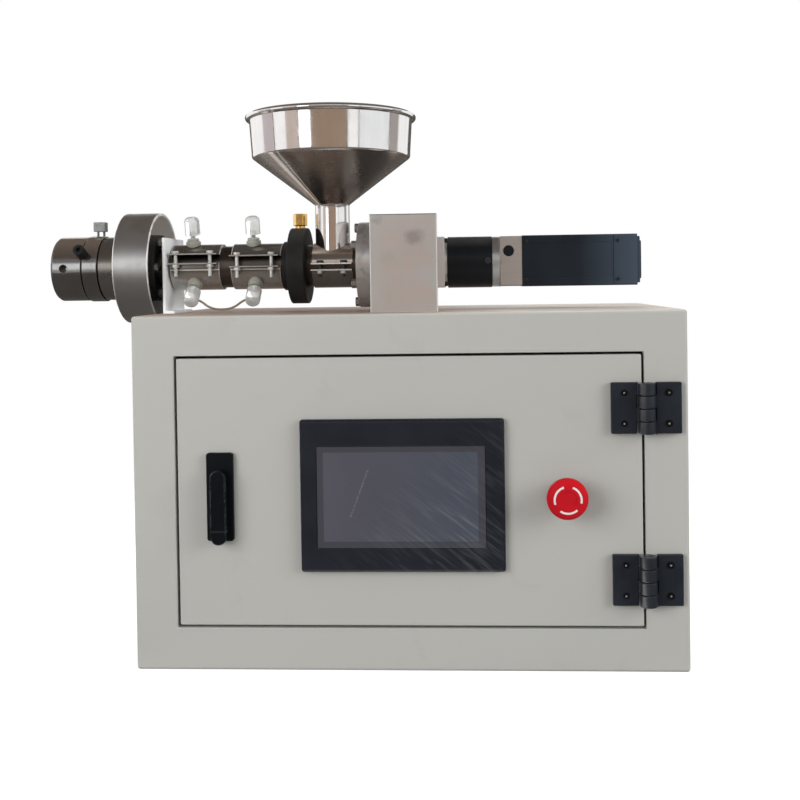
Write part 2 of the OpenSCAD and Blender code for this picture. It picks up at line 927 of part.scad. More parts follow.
// Ceramic connector over the die ring with its two pins
module die_connector() {
    color([0.52, 0.53, 0.52])
        translate([dring_x1 - 7, axis_y, axis_z + die_d / 2 + 1])
            difference() {
                union() {
                    translate([-6.5, -5, 5]) cube([13, 10, 10.5]);
                    translate([-2, -2.5, -2]) cylinder(r = 1.3, h = 8);
                    translate([3, 2.5, -2]) cylinder(r = 1.3, h = 8);
                }
                translate([-20, 0, -die_d / 2 - 1])
                    rotate([0, 90, 0])
                        cylinder(r = die_d / 2 + 1, h = 60);
            }
}

// Open drum round the die flange, closed to the left
module drum_shroud() {
    color([0.36, 0.34, 0.33])
        difference() {
            bar_x(drum_x0, drum_x1, drum_d / 2);
            bar_x(drum_x0 + drum_t, drum_x1 + 1, drum_d / 2 - drum_t);
            bar_x(drum_x0 - 1, drum_x1, die_neck_r);
        }
}

module drum_flange() {
    color([0.05, 0.05, 0.05])
        bar_x(dflange_x1 - dflange_t, dflange_x1, dflange_r);
}

cabinet_top();
cabinet_bottom();
cabinet_side_walls();
cabinet_back_wall();
frame_rails();
frame_stiles();
door_panel();
door_hinge_leaves();
frame_hinge_leaves();
hinge_pins();
panel_bezel();
panel_screen();
stop_collar();
stop_stem();
stop_head();
handle_plate();
handle_lever();
barrel_support();
barrel();
heater_bands();
clamp_bolts();
terminal_beads();
terminal_pins();
terminal_caps();
jumper_lead();
barrel_collar();
cooling_ring();
brass_fitting();
hopper_saddle();
hopper_clamp();
hopper_wall();
hopper_cone();
hopper_neck();
block_flange();
flange_bolts();
bearing_block();
reducer_flange();
flange_screws();
reducer_body();
motor_adapter();
adapter_plug();
motor_body();
motor_cover();
die_body();
die_ring();
die_heater();
die_screw();
die_connector();
drum_shroud();
drum_flange();
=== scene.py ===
"""Laboratory extruder: finishes, rounded edges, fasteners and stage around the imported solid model."""
import json
import math

import bmesh
import bpy
from bpy.props import FloatProperty, FloatVectorProperty, IntProperty, PointerProperty
from mathutils import Matrix, Vector


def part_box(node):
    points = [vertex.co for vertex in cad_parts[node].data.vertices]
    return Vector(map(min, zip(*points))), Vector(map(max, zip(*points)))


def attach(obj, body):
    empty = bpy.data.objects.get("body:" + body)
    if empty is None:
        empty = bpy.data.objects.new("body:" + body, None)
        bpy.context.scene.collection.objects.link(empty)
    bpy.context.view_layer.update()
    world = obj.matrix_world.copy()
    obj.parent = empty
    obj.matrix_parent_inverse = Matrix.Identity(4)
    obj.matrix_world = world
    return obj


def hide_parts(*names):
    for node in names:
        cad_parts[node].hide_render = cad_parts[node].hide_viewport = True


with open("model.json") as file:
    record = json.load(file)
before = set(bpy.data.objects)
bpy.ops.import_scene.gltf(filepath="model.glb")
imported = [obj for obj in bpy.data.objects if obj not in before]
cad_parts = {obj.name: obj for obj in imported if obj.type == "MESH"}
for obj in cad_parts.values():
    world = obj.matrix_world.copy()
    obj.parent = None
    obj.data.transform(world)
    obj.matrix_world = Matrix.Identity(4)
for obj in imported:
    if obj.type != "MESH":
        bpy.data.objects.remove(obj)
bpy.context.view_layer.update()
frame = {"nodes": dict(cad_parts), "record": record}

bl_info = {
    "name": "Laboratory extruder",
    "version": (1, 0, 0),
    "blender": (4, 5, 0),
    "location": "View3D > Sidebar > Extruder",
    "description": "Dresses the solid model of a bench extruder with finishes, fasteners and a stage",
    "category": "Object",
}


def colour_prop(name, description, default):
    return FloatVectorProperty(
        name=name, description=description, default=default, size=3, min=0.0, max=1.0, subtype="COLOR"
    )


def length_prop(name, description, default):
    return FloatProperty(
        name=name, description=description, default=default, min=0.0, subtype="DISTANCE", unit="LENGTH"
    )


class ExtruderSizes(bpy.types.PropertyGroup):
    """Small sizes that the solid model leaves to the finish"""

    fold_radius: length_prop("Fold radius", "Radius of the folded cabinet edges", 0.003)
    sheet: length_prop("Sheet", "Thickness of the cabinet sheet", 0.002)
    edge_round: length_prop("Edge round", "Small radius on machined edges", 0.0005)
    screw_head: length_prop("Hinge screw head", "Radius of the hinge screw heads", 0.0036)
    arc_radius: length_prop("Arc radius", "Radius of the arcs on the stop button", 0.0128)
    arc_width: length_prop("Arc width", "Width of the arcs on the stop button", 0.0019)
    lead_diameter: length_prop("Lead diameter", "Diameter of the lead between the heater bands", 0.0024)
    lead_steps: IntProperty(name="Lead steps", description="Rings along the lead", default=72, min=8)


class ExtruderColours(bpy.types.PropertyGroup):
    """Main colours of the machine"""

    paint: colour_prop("Paint", "Powder coat of the cabinet", (0.464, 0.464, 0.438))
    hinge: colour_prop("Hinge", "Black enamel of the hinges", (0.0178, 0.0215, 0.0285))
    handle: colour_prop("Handle", "Black of the door handle", (0.0046, 0.0060, 0.0078))
    panel: colour_prop("Panel", "Operator panel housing", (0.0132, 0.0154, 0.0225))
    screen: colour_prop("Screen", "Unlit screen", (0.076, 0.078, 0.096))
    stop: colour_prop("Stop button", "Head of the stop button", (0.530, 0.011, 0.019))
    aluminium: colour_prop("Aluminium", "Reducer flange and adapter", (0.355, 0.318, 0.292))
    barrel: colour_prop("Barrel", "Dark oiled steel of the barrel", (0.11, 0.10, 0.092))
    heater: colour_prop("Heater", "Heat tinted steel of the heater bands", (0.205, 0.192, 0.178))
    zinc: colour_prop("Zinc", "Zinc plated bolts", (0.68, 0.68, 0.66))
    black_steel: colour_prop("Black steel", "Blackened steel", (0.020, 0.019, 0.019))
    brass: colour_prop("Brass", "Turned brass", (0.95, 0.66, 0.24))
    hopper: colour_prop("Hopper", "Polished stainless steel", (0.90, 0.88, 0.865))
    reducer: colour_prop("Reducer", "Black anodised reducer", (0.0085, 0.0105, 0.0135))
    motor: colour_prop("Motor", "Blue-black motor", (0.0092, 0.0132, 0.0190))
    drum: colour_prop("Drum", "Rolled steel of the drum", (0.53, 0.53, 0.535))
    die: colour_prop("Die", "Turned die steel", (0.27, 0.266, 0.262))


def middle_of(node):
    """Middle of a solid's box."""
    low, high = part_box(node)
    return (low + high) / 2


AXIS = middle_of("barrel")


def sizes():
    return bpy.context.scene.extruder_sizes


def colours():
    return bpy.context.scene.extruder_colours


# Shader groups


def fill(node, inputs):
    """Fills a node's inputs with values or links."""
    for key, value in inputs.items():
        if isinstance(value, bpy.types.NodeSocket):
            node.id_data.links.new(value, node.inputs[key])
        else:
            node.inputs[key].default_value = value


def put(tree, kind, inputs=None, **settings):
    """Adds a node, sets its properties and fills its inputs."""
    node = tree.nodes.new(kind)
    for key, value in settings.items():
        setattr(node, key, value)
    fill(node, inputs or {})
    return node


def maths(tree, operation, a, b=0.0):
    return put(tree, "ShaderNodeMath", {0: a, 1: b}, operation=operation).outputs[0]


def mix_colour(tree, factor, a, b):
    return put(tree, "ShaderNodeMix", {0: factor, 6: a, 7: b}, data_type="RGBA").outputs[2]


def spread(tree, value, low, high, to_low=0.0, to_high=1.0):
    """Maps one range of values to another and holds it at the ends."""
    limits = {"From Min": low, "From Max": high, "To Min": to_low, "To Max": to_high}
    return put(tree, "ShaderNodeMapRange", {"Value": value, **limits}).outputs[0]


def times(tree, a, b):
    return maths(tree, "MULTIPLY", a, b)


def offset(tree, a, b):
    """Distance between two numbers."""
    return maths(tree, "ABSOLUTE", maths(tree, "SUBTRACT", a, b))


def place_in(tree):
    """Place on the piece, in the shared frame."""
    return put(tree, "ShaderNodeTexCoord").outputs["Object"]


def parts(tree, vector):
    """X, Y and Z of a vector."""
    return put(tree, "ShaderNodeSeparateXYZ", {0: vector}).outputs


def vectors(tree, operation, a, b):
    return put(tree, "ShaderNodeVectorMath", {0: a, 1: b}, operation=operation).outputs[0]


def distance(tree, a, b):
    return put(tree, "ShaderNodeVectorMath", {0: a, 1: b}, operation="DISTANCE").outputs["Value"]


def noise(tree, vector, scale, detail=2.0, distortion=0.0):
    inputs = {"Vector": vector, "Scale": scale, "Detail": detail, "Distortion": distortion}
    return put(tree, "ShaderNodeTexNoise", inputs).outputs["Fac"]


def emboss(tree, shader, height, depth):
    """Bump on a shader's normal."""
    bump = put(tree, "ShaderNodeBump", {"Height": height, "Strength": 1.0, "Distance": depth})
    tree.links.new(bump.outputs[0], shader.inputs["Normal"])


def blend(tree, mask, old, new):
    """A number or socket that gives way to another number where the mask is one."""
    if isinstance(old, float):
        return spread(tree, mask, 0.0, 1.0, old, new)
    rest = times(tree, old, maths(tree, "SUBTRACT", 1.0, mask))
    return maths(tree, "ADD", rest, times(tree, mask, new))


def group(name, inputs, *outputs):
    """A shader node group with inputs by name and default, number outputs, and its end sockets."""
    tree = bpy.data.node_groups.new(name, "ShaderNodeTree")
    for label, default in inputs.items():
        kind = "NodeSocketVector" if isinstance(default, tuple) else "NodeSocketFloat"
        tree.interface.new_socket(label, in_out="INPUT", socket_type=kind).default_value = default
    for label in outputs:
        tree.interface.new_socket(label, in_out="OUTPUT", socket_type="NodeSocketFloat")
    return tree, tree.nodes.new("NodeGroupInput").outputs, tree.nodes.new("NodeGroupOutput").inputs


def facing(tree):
    return put(tree, "ShaderNodeNewGeometry").outputs["Normal"]


def grain_group():
    """Fine grain of a coating or casting, and slow blotches of tone."""
    tree, given, out = group("fine_grain", {"Grain": 900.0, "Blotch": 9.0}, "Height", "Tone")
    place = place_in(tree)
    tree.links.new(noise(tree, place, given["Grain"], 2.0), out["Height"])
    slow = noise(tree, place, given["Blotch"], 4.0)
    tree.links.new(spread(tree, slow, 0.28, 0.72), out["Tone"])


def lines_group():
    """Brushing or turning marks: noise drawn out along the axes with small scales."""
    tree, given, out = group("tool_marks", {"Along": (20.0, 900.0, 900.0)}, "Height", "Tone")
    stretched = vectors(tree, "MULTIPLY", place_in(tree), given["Along"])
    fine = noise(tree, stretched, 1.0, 3.0)
    broad = noise(tree, stretched, 0.18, 2.0)
    tree.links.new(fine, out["Height"])
    both = maths(tree, "ADD", times(tree, fine, 0.6), times(tree, broad, 0.4))
    tree.links.new(spread(tree, both, 0.32, 0.68), out["Tone"])


def edge_wear_and_highlight_group():
    """Outer edges, broken up by noise: rubbed wear on some finishes and painted highlights on others."""
    tree, given, out = group("rubbed_edges", {"Width": 0.001, "Amount": 0.5}, "Mask")
    bent = put(tree, "ShaderNodeBevel", {"Radius": given["Width"]}, samples=6).outputs[0]
    dot = put(tree, "ShaderNodeVectorMath", {0: bent, 1: facing(tree)}, operation="DOT_PRODUCT")
    edge = spread(tree, dot.outputs["Value"], 0.985, 0.86)
    rough = spread(tree, noise(tree, place_in(tree), 160.0, 4.0), 0.42, 0.62)
    tree.links.new(times(tree, times(tree, edge, rough), given["Amount"]), out["Mask"])


def smudge_group():
    """Hand marks and oil: soft islands of noise."""
    tree, given, out = group("hand_smudges", {"Size": 40.0, "Start": 0.55, "Full": 0.75}, "Mask")
    marks = noise(tree, place_in(tree), given["Size"], 5.0, 0.8)
    tree.links.new(spread(tree, marks, given["Start"], given["Full"]), out["Mask"])


def dust_and_sheen_group():
    """Dust that settles on faces looking up, above a height; on the cabinet top it also carries painted
    reflection and painted light.
    """
    tree, given, out = group("settled_dust", {"Amount": 0.2, "Above": -1.0}, "Mask")
    place = place_in(tree)
    up = spread(tree, parts(tree, facing(tree))[2], 0.55, 0.98)
    drift = spread(tree, noise(tree, place, 55.0, 6.0), 0.3, 0.7, 0.68, 1.0)
    high = maths(tree, "GREATER_THAN", parts(tree, place)[2], given["Above"])
    laid = times(tree, times(tree, up, drift), high)
    tree.links.new(times(tree, laid, given["Amount"]), out["Mask"])


def rim_highlights_group():
    """A mask at two places along X, broken by noise, for painted rim highlights."""
    tree, given, out = group("bright_rims", {"First": 0.0, "Last": 0.0, "Width": 0.001}, "Mask")
    place = place_in(tree)
    along = parts(tree, place)[0]
    near = [offset(tree, along, given[key]) for key in ("First", "Last")]
    share = maths(tree, "DIVIDE", maths(tree, "MINIMUM", near[0], near[1]), given["Width"])
    broken = spread(tree, noise(tree, place, 120.0, 3.0), 0.3, 0.55, 0.45, 1.0)
    tree.links.new(times(tree, spread(tree, share, 0.7, 1.0, 1.0, 0.0), broken), out["Mask"])


def core_group():
    """Everything nearer to the extruder axis than a radius."""
    inputs = {"Axis Y": 0.0, "Axis Z": 0.0, "Radius": 0.05, "Fade": 0.0004}
    tree, given, out = group("near_axis", inputs, "Mask")
    axes = parts(tree, place_in(tree))
    beside = maths(tree, "SUBTRACT", axes[1], given["Axis Y"])
    above = maths(tree, "SUBTRACT", axes[2], given["Axis Z"])
    across = put(tree, "ShaderNodeCombineXYZ", {1: beside, 2: above}).outputs[0]
    reach = put(tree, "ShaderNodeVectorMath", {0: across}, operation="LENGTH").outputs["Value"]
    inside = maths(tree, "DIVIDE", maths(tree, "SUBTRACT", given["Radius"], reach), given["Fade"])
    tree.links.new(spread(tree, inside, 0.0, 1.0), out["Mask"])


GROUPS = {
    "bright_rims": rim_highlights_group,
    "near_axis": core_group,
    "fine_grain": grain_group,
    "tool_marks": lines_group,
    "rubbed_edges": edge_wear_and_highlight_group,
    "hand_smudges": smudge_group,
    "settled_dust": dust_and_sheen_group,
}


def use_group(tree, name, **values):
    if name not in bpy.data.node_groups:
        GROUPS[name]()
    node = tree.nodes.new("ShaderNodeGroup")
    node.node_tree = bpy.data.node_groups[name]
    for key, value in values.items():
        node.inputs[key].default_value = value
    return node.outputs


# Finishes


def opaque(colour, share=1.0):
    return (colour[0] * share, colour[1] * share, colour[2] * share, 1.0)


def new_finish(name):
    material = bpy.data.materials.new(name)
    material.use_nodes = True
    return material, material.node_tree, material.node_tree.nodes["Principled BSDF"]


def finish(
    name,
    colour,
    metal=0.0,
    rough=(0.3, 0.5),
    grain=(900.0, 9.0),
    depth=0.00002,
    along=None,
    tone=0.08,
    tint=None,
    rub=None,
    dust=0.0,
    smudge=None,
    lacquer=0.0,
    specular=0.5,
    rims=None,
    painted_inside_light=None,
    fade=None,
    slabs=(),
    dust_colour=(0.34, 0.32, 0.29),
    dust_fade=None,
    dust_above=-1.0,
):
    """A material with grain or tool marks, uneven tone, edge wear and painted edge highlights, smudges, dust,
    and optional painted light and shade.

    tint: colour, scale. rub: colour, width, amount, of edge wear and painted edge highlights.
    smudge: colour, scale, start, full, share. rims: painted highlight colour, two places along X, width.
    core: painted light colour, radius, metal, start along X. fade: axis, start, end, colour, of painted light
    and shade.
    slabs: axis, place, half width, colour, metal. dust_fade: start and end along X, colour of paler dust that
    is painted light.
    """
    material, tree, shader = new_finish(name)
    fine = use_group(tree, "fine_grain", Grain=grain[0], Blotch=grain[1])
    marks = use_group(tree, "tool_marks", Along=along) if along else fine
    base = mix_colour(tree, fine["Tone"], opaque(colour, 1 - tone), opaque(colour, 1 + tone))
    if along:
        shade = times(tree, marks["Tone"], 0.5)
        base = mix_colour(tree, shade, base, opaque(colour, 1 - 2.2 * tone))
    if tint:
        heat = use_group(tree, "hand_smudges", Size=tint[1], Start=0.42, Full=0.68)["Mask"]
        base = mix_colour(tree, heat, base, opaque(tint[0]))
    gloss = spread(tree, marks["Tone"], 0.0, 1.0, *rough)
    if smudge:
        marked = use_group(tree, "hand_smudges", Size=smudge[1], Start=smudge[2], Full=smudge[3])["Mask"]
        base = mix_colour(tree, times(tree, marked, smudge[4]), base, opaque(smudge[0]))
        gloss = maths(tree, "ADD", gloss, times(tree, marked, 0.1))
    if rub:
        edge_mask = use_group(tree, "rubbed_edges", Width=rub[1], Amount=rub[2])["Mask"]
        base = mix_colour(tree, edge_mask, base, opaque(rub[0]))
    shine = metal
    # A pale colour near the axis, past a start along X: painted light
    if painted_inside_light:
        round_axis = {"Axis Y": AXIS.y, "Axis Z": AXIS.z, "Radius": painted_inside_light[1]}
        inner = use_group(tree, "near_axis", **round_axis)["Mask"]
        along_x = parts(tree, place_in(tree))[0]
        within = times(tree, inner, maths(tree, "GREATER_THAN", along_x, painted_inside_light[3]))
        base = mix_colour(tree, within, base, opaque(painted_inside_light[0]))
        shine = blend(tree, within, shine, painted_inside_light[2])
    # Painted highlights at two places along X, kept off the painted light near the axis
    if rims:
        bright = use_group(tree, "bright_rims", First=rims[1], Last=rims[2], Width=rims[3])["Mask"]
        if painted_inside_light:
            bright = times(tree, bright, maths(tree, "SUBTRACT", 1.0, inner))
        base = mix_colour(tree, bright, base, opaque(rims[0]))
        shine = blend(tree, bright, shine, 0.3)
    if fade or slabs or dust_fade:
        axes = parts(tree, place_in(tree))
    # Painted light and shade that change along an axis
    if fade:
        painted_gradient = spread(tree, axes[fade[0]], fade[1], fade[2])
        base = mix_colour(tree, painted_gradient, base, opaque(fade[3]))
    for axis, at, half, slab_colour, slab_metal in slabs:
        off = offset(tree, axes[axis], at)
        inside = spread(tree, off, half * 0.75, half, 1.0, 0.0)
        base = mix_colour(tree, inside, base, opaque(slab_colour))
        shine = blend(tree, inside, shine, slab_metal)
    if dust:
        dust_and_sheen_mask = use_group(tree, "settled_dust", Amount=dust, Above=dust_above)["Mask"]
        film = opaque(dust_colour)
        # A paler dust colour along X that is painted light
        if dust_fade:
            film = mix_colour(tree, spread(tree, axes[0], *dust_fade[:2]), film, opaque(dust_fade[2]))
        base = mix_colour(tree, dust_and_sheen_mask, base, film)
        gloss = maths(tree, "ADD", gloss, times(tree, dust_and_sheen_mask, 0.3))
    fill(shader, {
        "Base Color": base, "Roughness": gloss, "Metallic": shine, "Specular IOR Level": specular,
    })
    if lacquer:
        fill(shader, {"Coat Weight": lacquer, "Coat Roughness": 0.12})
    emboss(tree, shader, marks["Height"], depth)
    return material


DRUM_LOW, DRUM_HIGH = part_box("drum_shroud")
# Painted highlights on the drum's two ends and painted light on its pale inside
DRUM_RIM_HIGHLIGHTS = ((0.95, 0.94, 0.92), DRUM_LOW.x, DRUM_HIGH.x, 0.0011)
DRUM_PAINTED_INSIDE_LIGHT = ((0.97, 0.94, 0.90), (DRUM_HIGH.z - AXIS.z) - 0.0024, 0.0, DRUM_LOW.x + 0.001)

# Heat tinted sheet; its near-white rubbed edges are painted highlights
HEATER = dict(
    metal=0.82, rough=(0.17, 0.28), grain=(500.0, 45.0), depth=0.000006, along=(1100.0, 26.0, 26.0),
    tone=0.08, tint=((0.19, 0.165, 0.142), 30.0), rub=((0.80, 0.79, 0.77), 0.0006, 0.9),
    smudge=((0.10, 0.088, 0.078), 46.0, 0.55, 0.8, 0.5),
)

# Finishes that need only values; a text as colour names a colour property
FINISHES = {
    "die_heater_steel": dict(colour="heater", **HEATER),
    # Powder coat: the brown dust on the top is also partly a painted reflection, and its paler colour towards
    # the right is painted light
    "powder_coat": dict(
        colour="paint", rough=(0.40, 0.50), grain=(620.0, 5.0), depth=0.00005, tone=0.022,
        rub=((0.60, 0.60, 0.57), 0.0012, 0.45), dust=0.98,
        smudge=((0.30, 0.28, 0.23), 26.0, 0.62, 0.85, 0.22), specular=0.35,
        dust_colour=(0.40, 0.305, 0.252), dust_fade=(-0.04, 0.12, (0.72, 0.66, 0.60)),
        dust_above=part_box("cabinet_top")[1].z - 0.004,
    ),
    "hinge_screws": dict(
        colour=(0.004, 0.004, 0.0045), rough=(0.30, 0.42), grain=(900.0, 90.0), depth=0.00001, tone=0.12,
        specular=0.2,
    ),
    "handle_enamel": dict(
        colour="handle", rough=(0.30, 0.42), grain=(2200.0, 50.0), depth=0.00002, tone=0.15,
        rub=((0.05, 0.052, 0.056), 0.0006, 0.6), dust=0.06, specular=0.12,
    ),
    # Black lever whose near-white edges are a painted highlight, with the joint of its end cap.
    "lever_enamel": dict(
        colour="handle", rough=(0.22, 0.30), grain=(2200.0, 50.0), depth=0.00001, tone=0.15,
        rub=((0.78, 0.79, 0.80), 0.0018, 1.0), specular=0.10,
        slabs=[(2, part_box("handle_lever")[0].z + 0.0137, 0.0005, (0.035, 0.036, 0.038), 0.0)],
    ),
    # Pinkish milled adapter with a polished ring towards the reducer.
    "milled_adapter": dict(
        colour="aluminium", metal=0.35, rough=(0.30, 0.44), grain=(300.0, 28.0), depth=0.000006,
        along=(26.0, 700.0, 700.0), tone=0.05, smudge=((0.36, 0.32, 0.30), 34.0, 0.55, 0.72, 0.4),
        slabs=[(0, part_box("motor_adapter")[0].x + 0.003, 0.0054, (0.62, 0.655, 0.68), 1.0)],
    ),
    # Light reducer flange with a bright ring on its right.
    "reducer_plate": dict(
        colour=(0.60, 0.55, 0.545), metal=0.2, rough=(0.30, 0.44), grain=(300.0, 28.0), depth=0.000006,
        along=(26.0, 700.0, 700.0), tone=0.05,
        slabs=[(0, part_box("reducer_flange")[1].x, 0.0031, (0.85, 0.85, 0.84), 0.9)],
    ),
    "support_plate": dict(
        colour=(0.92, 0.94, 0.95), rough=(0.26, 0.40), grain=(400.0, 60.0), depth=0.00001,
        along=(700.0, 30.0, 700.0), tone=0.02, rub=((0.9, 0.9, 0.9), 0.0006, 0.6),
    ),
    "oiled_barrel": dict(
        colour="barrel", metal=1.0, rough=(0.26, 0.42), grain=(500.0, 60.0), depth=0.00001,
        along=(1400.0, 60.0, 60.0), tone=0.12, tint=((0.12, 0.09, 0.07), 50.0),
    ),
    "zinc_plate": dict(
        colour="zinc", metal=0.6, rough=(0.24, 0.4), grain=(1200.0, 120.0), depth=0.00001, tone=0.12,
        rub=((0.85, 0.84, 0.82), 0.0004, 0.6), smudge=((0.2, 0.18, 0.15), 220.0, 0.52, 0.7, 0.6),
    ),
    "blackened_steel": dict(
        colour="black_steel", rough=(0.36, 0.55), grain=(900.0, 60.0), depth=0.00002, tone=0.2,
        rub=((0.10, 0.094, 0.09), 0.0008, 0.5), dust=0.1, specular=0.15,
    ),
    "oiled_bolts": dict(
        colour=(0.34, 0.33, 0.32), metal=0.9, rough=(0.22, 0.36), grain=(900.0, 90.0), depth=0.00001,
        tone=0.12, rub=((0.55, 0.53, 0.5), 0.0005, 0.7), smudge=((0.08, 0.07, 0.06), 120.0, 0.5, 0.75, 0.6),
    ),
    "turned_flange": dict(
        colour=(0.66, 0.645, 0.64), metal=0.82, rough=(0.26, 0.40), grain=(500.0, 40.0), depth=0.000016,
        along=(900.0, 45.0, 45.0), tone=0.1, rub=((0.62, 0.6, 0.58), 0.0007, 0.6),
        smudge=((0.12, 0.1, 0.085), 50.0, 0.5, 0.72, 0.5),
    ),
    "turned_brass": dict(
        colour="brass", metal=1.0, rough=(0.14, 0.24), grain=(900.0, 60.0), depth=0.000004,
        along=(60.0, 60.0, 1500.0), tone=0.05, rub=((1.0, 0.9, 0.6), 0.0007, 0.7),
    ),
    # Stainless saddle: its bright edges and the bright front of its tabs are painted highlights
    "stainless_saddle": dict(
        colour=(0.52, 0.465, 0.415), metal=0.95, rough=(0.12, 0.22), grain=(500.0, 50.0), depth=0.00001,
        along=(900.0, 40.0, 40.0), tone=0.1, tint=((0.42, 0.36, 0.31), 36.0),
        rub=((0.8, 0.78, 0.76), 0.0005, 0.9),
        slabs=[(1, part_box("hopper_saddle")[0].y, 0.0016, (0.85, 0.85, 0.83), 0.4)],
    ),
    # Clamp: its bright edges and the lighter front of its tabs are painted highlights
    "clamp_steel": dict(
        colour=(0.27, 0.275, 0.27), metal=0.92, rough=(0.16, 0.28), grain=(500.0, 50.0), depth=0.00001,
        along=(900.0, 40.0, 40.0), tone=0.1, rub=((0.8, 0.78, 0.76), 0.0005, 0.9),
        slabs=[(1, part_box("hopper_clamp")[0].y, 0.0016, (0.62, 0.62, 0.60), 0.4)],
    ),
    "black_anodised": dict(
        colour="reducer", rough=(0.3, 0.42), grain=(1200.0, 50.0), depth=0.00001,
        along=(1300.0, 60.0, 60.0), tone=0.15, rub=((0.06, 0.06, 0.064), 0.0005, 0.5), dust=0.12,
        specular=0.2,
    ),
    "plug_rim": dict(
        colour=(0.034, 0.036, 0.040), rough=(0.30, 0.40), grain=(900.0, 90.0), depth=0.00001, tone=0.1,
        specular=0.3,
    ),
    # Blue-black motor, painted lighter towards its right end as painted light
    "motor_blue_black": dict(
        colour="motor", rough=(0.32, 0.44), grain=(1300.0, 30.0), depth=0.00002, tone=0.15,
        rub=((0.05, 0.058, 0.075), 0.0006, 0.6), dust=0.15, specular=0.22,
        fade=(
            0, middle_of("motor_body").x + 0.012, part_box("motor_cover")[1].x - 0.006, (0.048, 0.065, 0.090),
        ),
    ),
    # Rolled drum: its near-white edges and ends are painted highlights, its pale inside is painted light and
    # its darker lower part is painted shade
    "rolled_drum": dict(
        colour="drum", metal=0.96, rough=(0.30, 0.38), grain=(500.0, 36.0), depth=0.000003,
        along=(500.0, 14.0, 14.0), tone=0.05, tint=((0.45, 0.43, 0.41), 24.0),
        rub=((0.90, 0.90, 0.89), 0.0009, 0.95), smudge=((0.30, 0.28, 0.26), 40.0, 0.55, 0.8, 0.4),
        rims=DRUM_RIM_HIGHLIGHTS, painted_inside_light=DRUM_PAINTED_INSIDE_LIGHT, fade=(2, AXIS.z - 0.010, AXIS.z - 0.036, (0.37, 0.362, 0.355)),
    ),
    # Turned die: the lighter brown towards its top is painted light
    "turned_die": dict(
        colour="die", metal=0.97, rough=(0.13, 0.21), grain=(600.0, 50.0), depth=0.000005,
        along=(1500.0, 24.0, 24.0), tone=0.1, tint=((0.215, 0.208, 0.20), 26.0),
        rub=((0.75, 0.74, 0.72), 0.0006, 0.9), smudge=((0.13, 0.125, 0.12), 40.0, 0.6, 0.85, 0.35),
        fade=(2, AXIS.z + 0.006, AXIS.z + 0.028, (0.66, 0.59, 0.53)),
    ),
    "glazed_porcelain": dict(
        colour=(0.33, 0.325, 0.285), rough=(0.22, 0.34), grain=(700.0, 150.0), depth=0.00001, tone=0.05,
        smudge=((0.36, 0.30, 0.22), 190.0, 0.5, 0.72, 0.5), lacquer=0.3,
    ),
    "grey_ceramic": dict(
        colour=(0.27, 0.28, 0.275), rough=(0.4, 0.6), grain=(1500.0, 120.0), depth=0.00004, tone=0.1,
        rub=((0.45, 0.45, 0.44), 0.0005, 0.6), smudge=((0.12, 0.11, 0.1), 150.0, 0.5, 0.7, 0.5),
    ),
    "lead_sleeve": dict(
        colour=(0.25, 0.20, 0.145), rough=(0.4, 0.6), grain=(2600.0, 120.0), depth=0.00008, tone=0.18,
        along=(2200.0, 900.0, 900.0),
    ),
    "signal_red": dict(
        colour="stop", rough=(0.26, 0.36), grain=(1800.0, 60.0), depth=0.00002, tone=0.07,
        rub=((0.58, 0.02, 0.03), 0.0008, 0.3), specular=0.04,
    ),
    "stop_arcs": dict(
        colour=(0.80, 0.78, 0.76), rough=(0.35, 0.5), grain=(2400.0, 200.0), depth=0.00001, tone=0.04,
        smudge=((0.62, 0.4, 0.4), 400.0, 0.5, 0.75, 0.4),
    ),
    "stop_collar": dict(
        colour=(0.035, 0.033, 0.033), rough=(0.36, 0.5), grain=(1600.0, 60.0), depth=0.00002, tone=0.15,
        rub=((0.12, 0.12, 0.12), 0.0006, 0.5),
    ),
}


def band_finish(name, first, last):
    """Heat tinted sheet, painted lighter below as painted light, with painted highlights at both ends and on
    the tab edges.
    """
    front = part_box("heater_bands")[0].y
    return finish(
        name, colours().heater, **HEATER, rims=((0.62, 0.61, 0.59), first, last, 0.0009),
        fade=(2, AXIS.z - 0.002, AXIS.z - 0.014, (0.42, 0.41, 0.385)),
        # Painted highlights: the lighter front of the tabs and a bright line just below the axis
        slabs=[
            (1, front, 0.0014, (0.30, 0.30, 0.295), 0.4),
            (2, AXIS.z - 0.0032, 0.0006, (0.85, 0.80, 0.74), 0.4),
        ],
    )


def hinge_enamel(name):
    """Black enamel, glossier on the knuckles."""
    material = finish(
        name, colours().hinge, rough=(0.34, 0.5), grain=(1500.0, 40.0), depth=0.00002, tone=0.2,
        rub=((0.06, 0.063, 0.070), 0.0008, 0.8), dust=0.08, specular=0.15,
    )
    tree = material.node_tree
    along = parts(tree, place_in(tree))[0]
    pin = middle_of("hinge_pins").x
    left = spread(tree, along, pin - 0.006, pin + 0.001, 1.0, 0.12)
    knuckle = times(tree, spread(tree, offset(tree, along, pin), 0.0080, 0.0088, 1.0, 0.0), left)
    shader = tree.nodes["Principled BSDF"]
    fill(shader, {"Coat Weight": knuckle, "Coat Roughness": 0.24, "Coat IOR": 1.9})
    return material


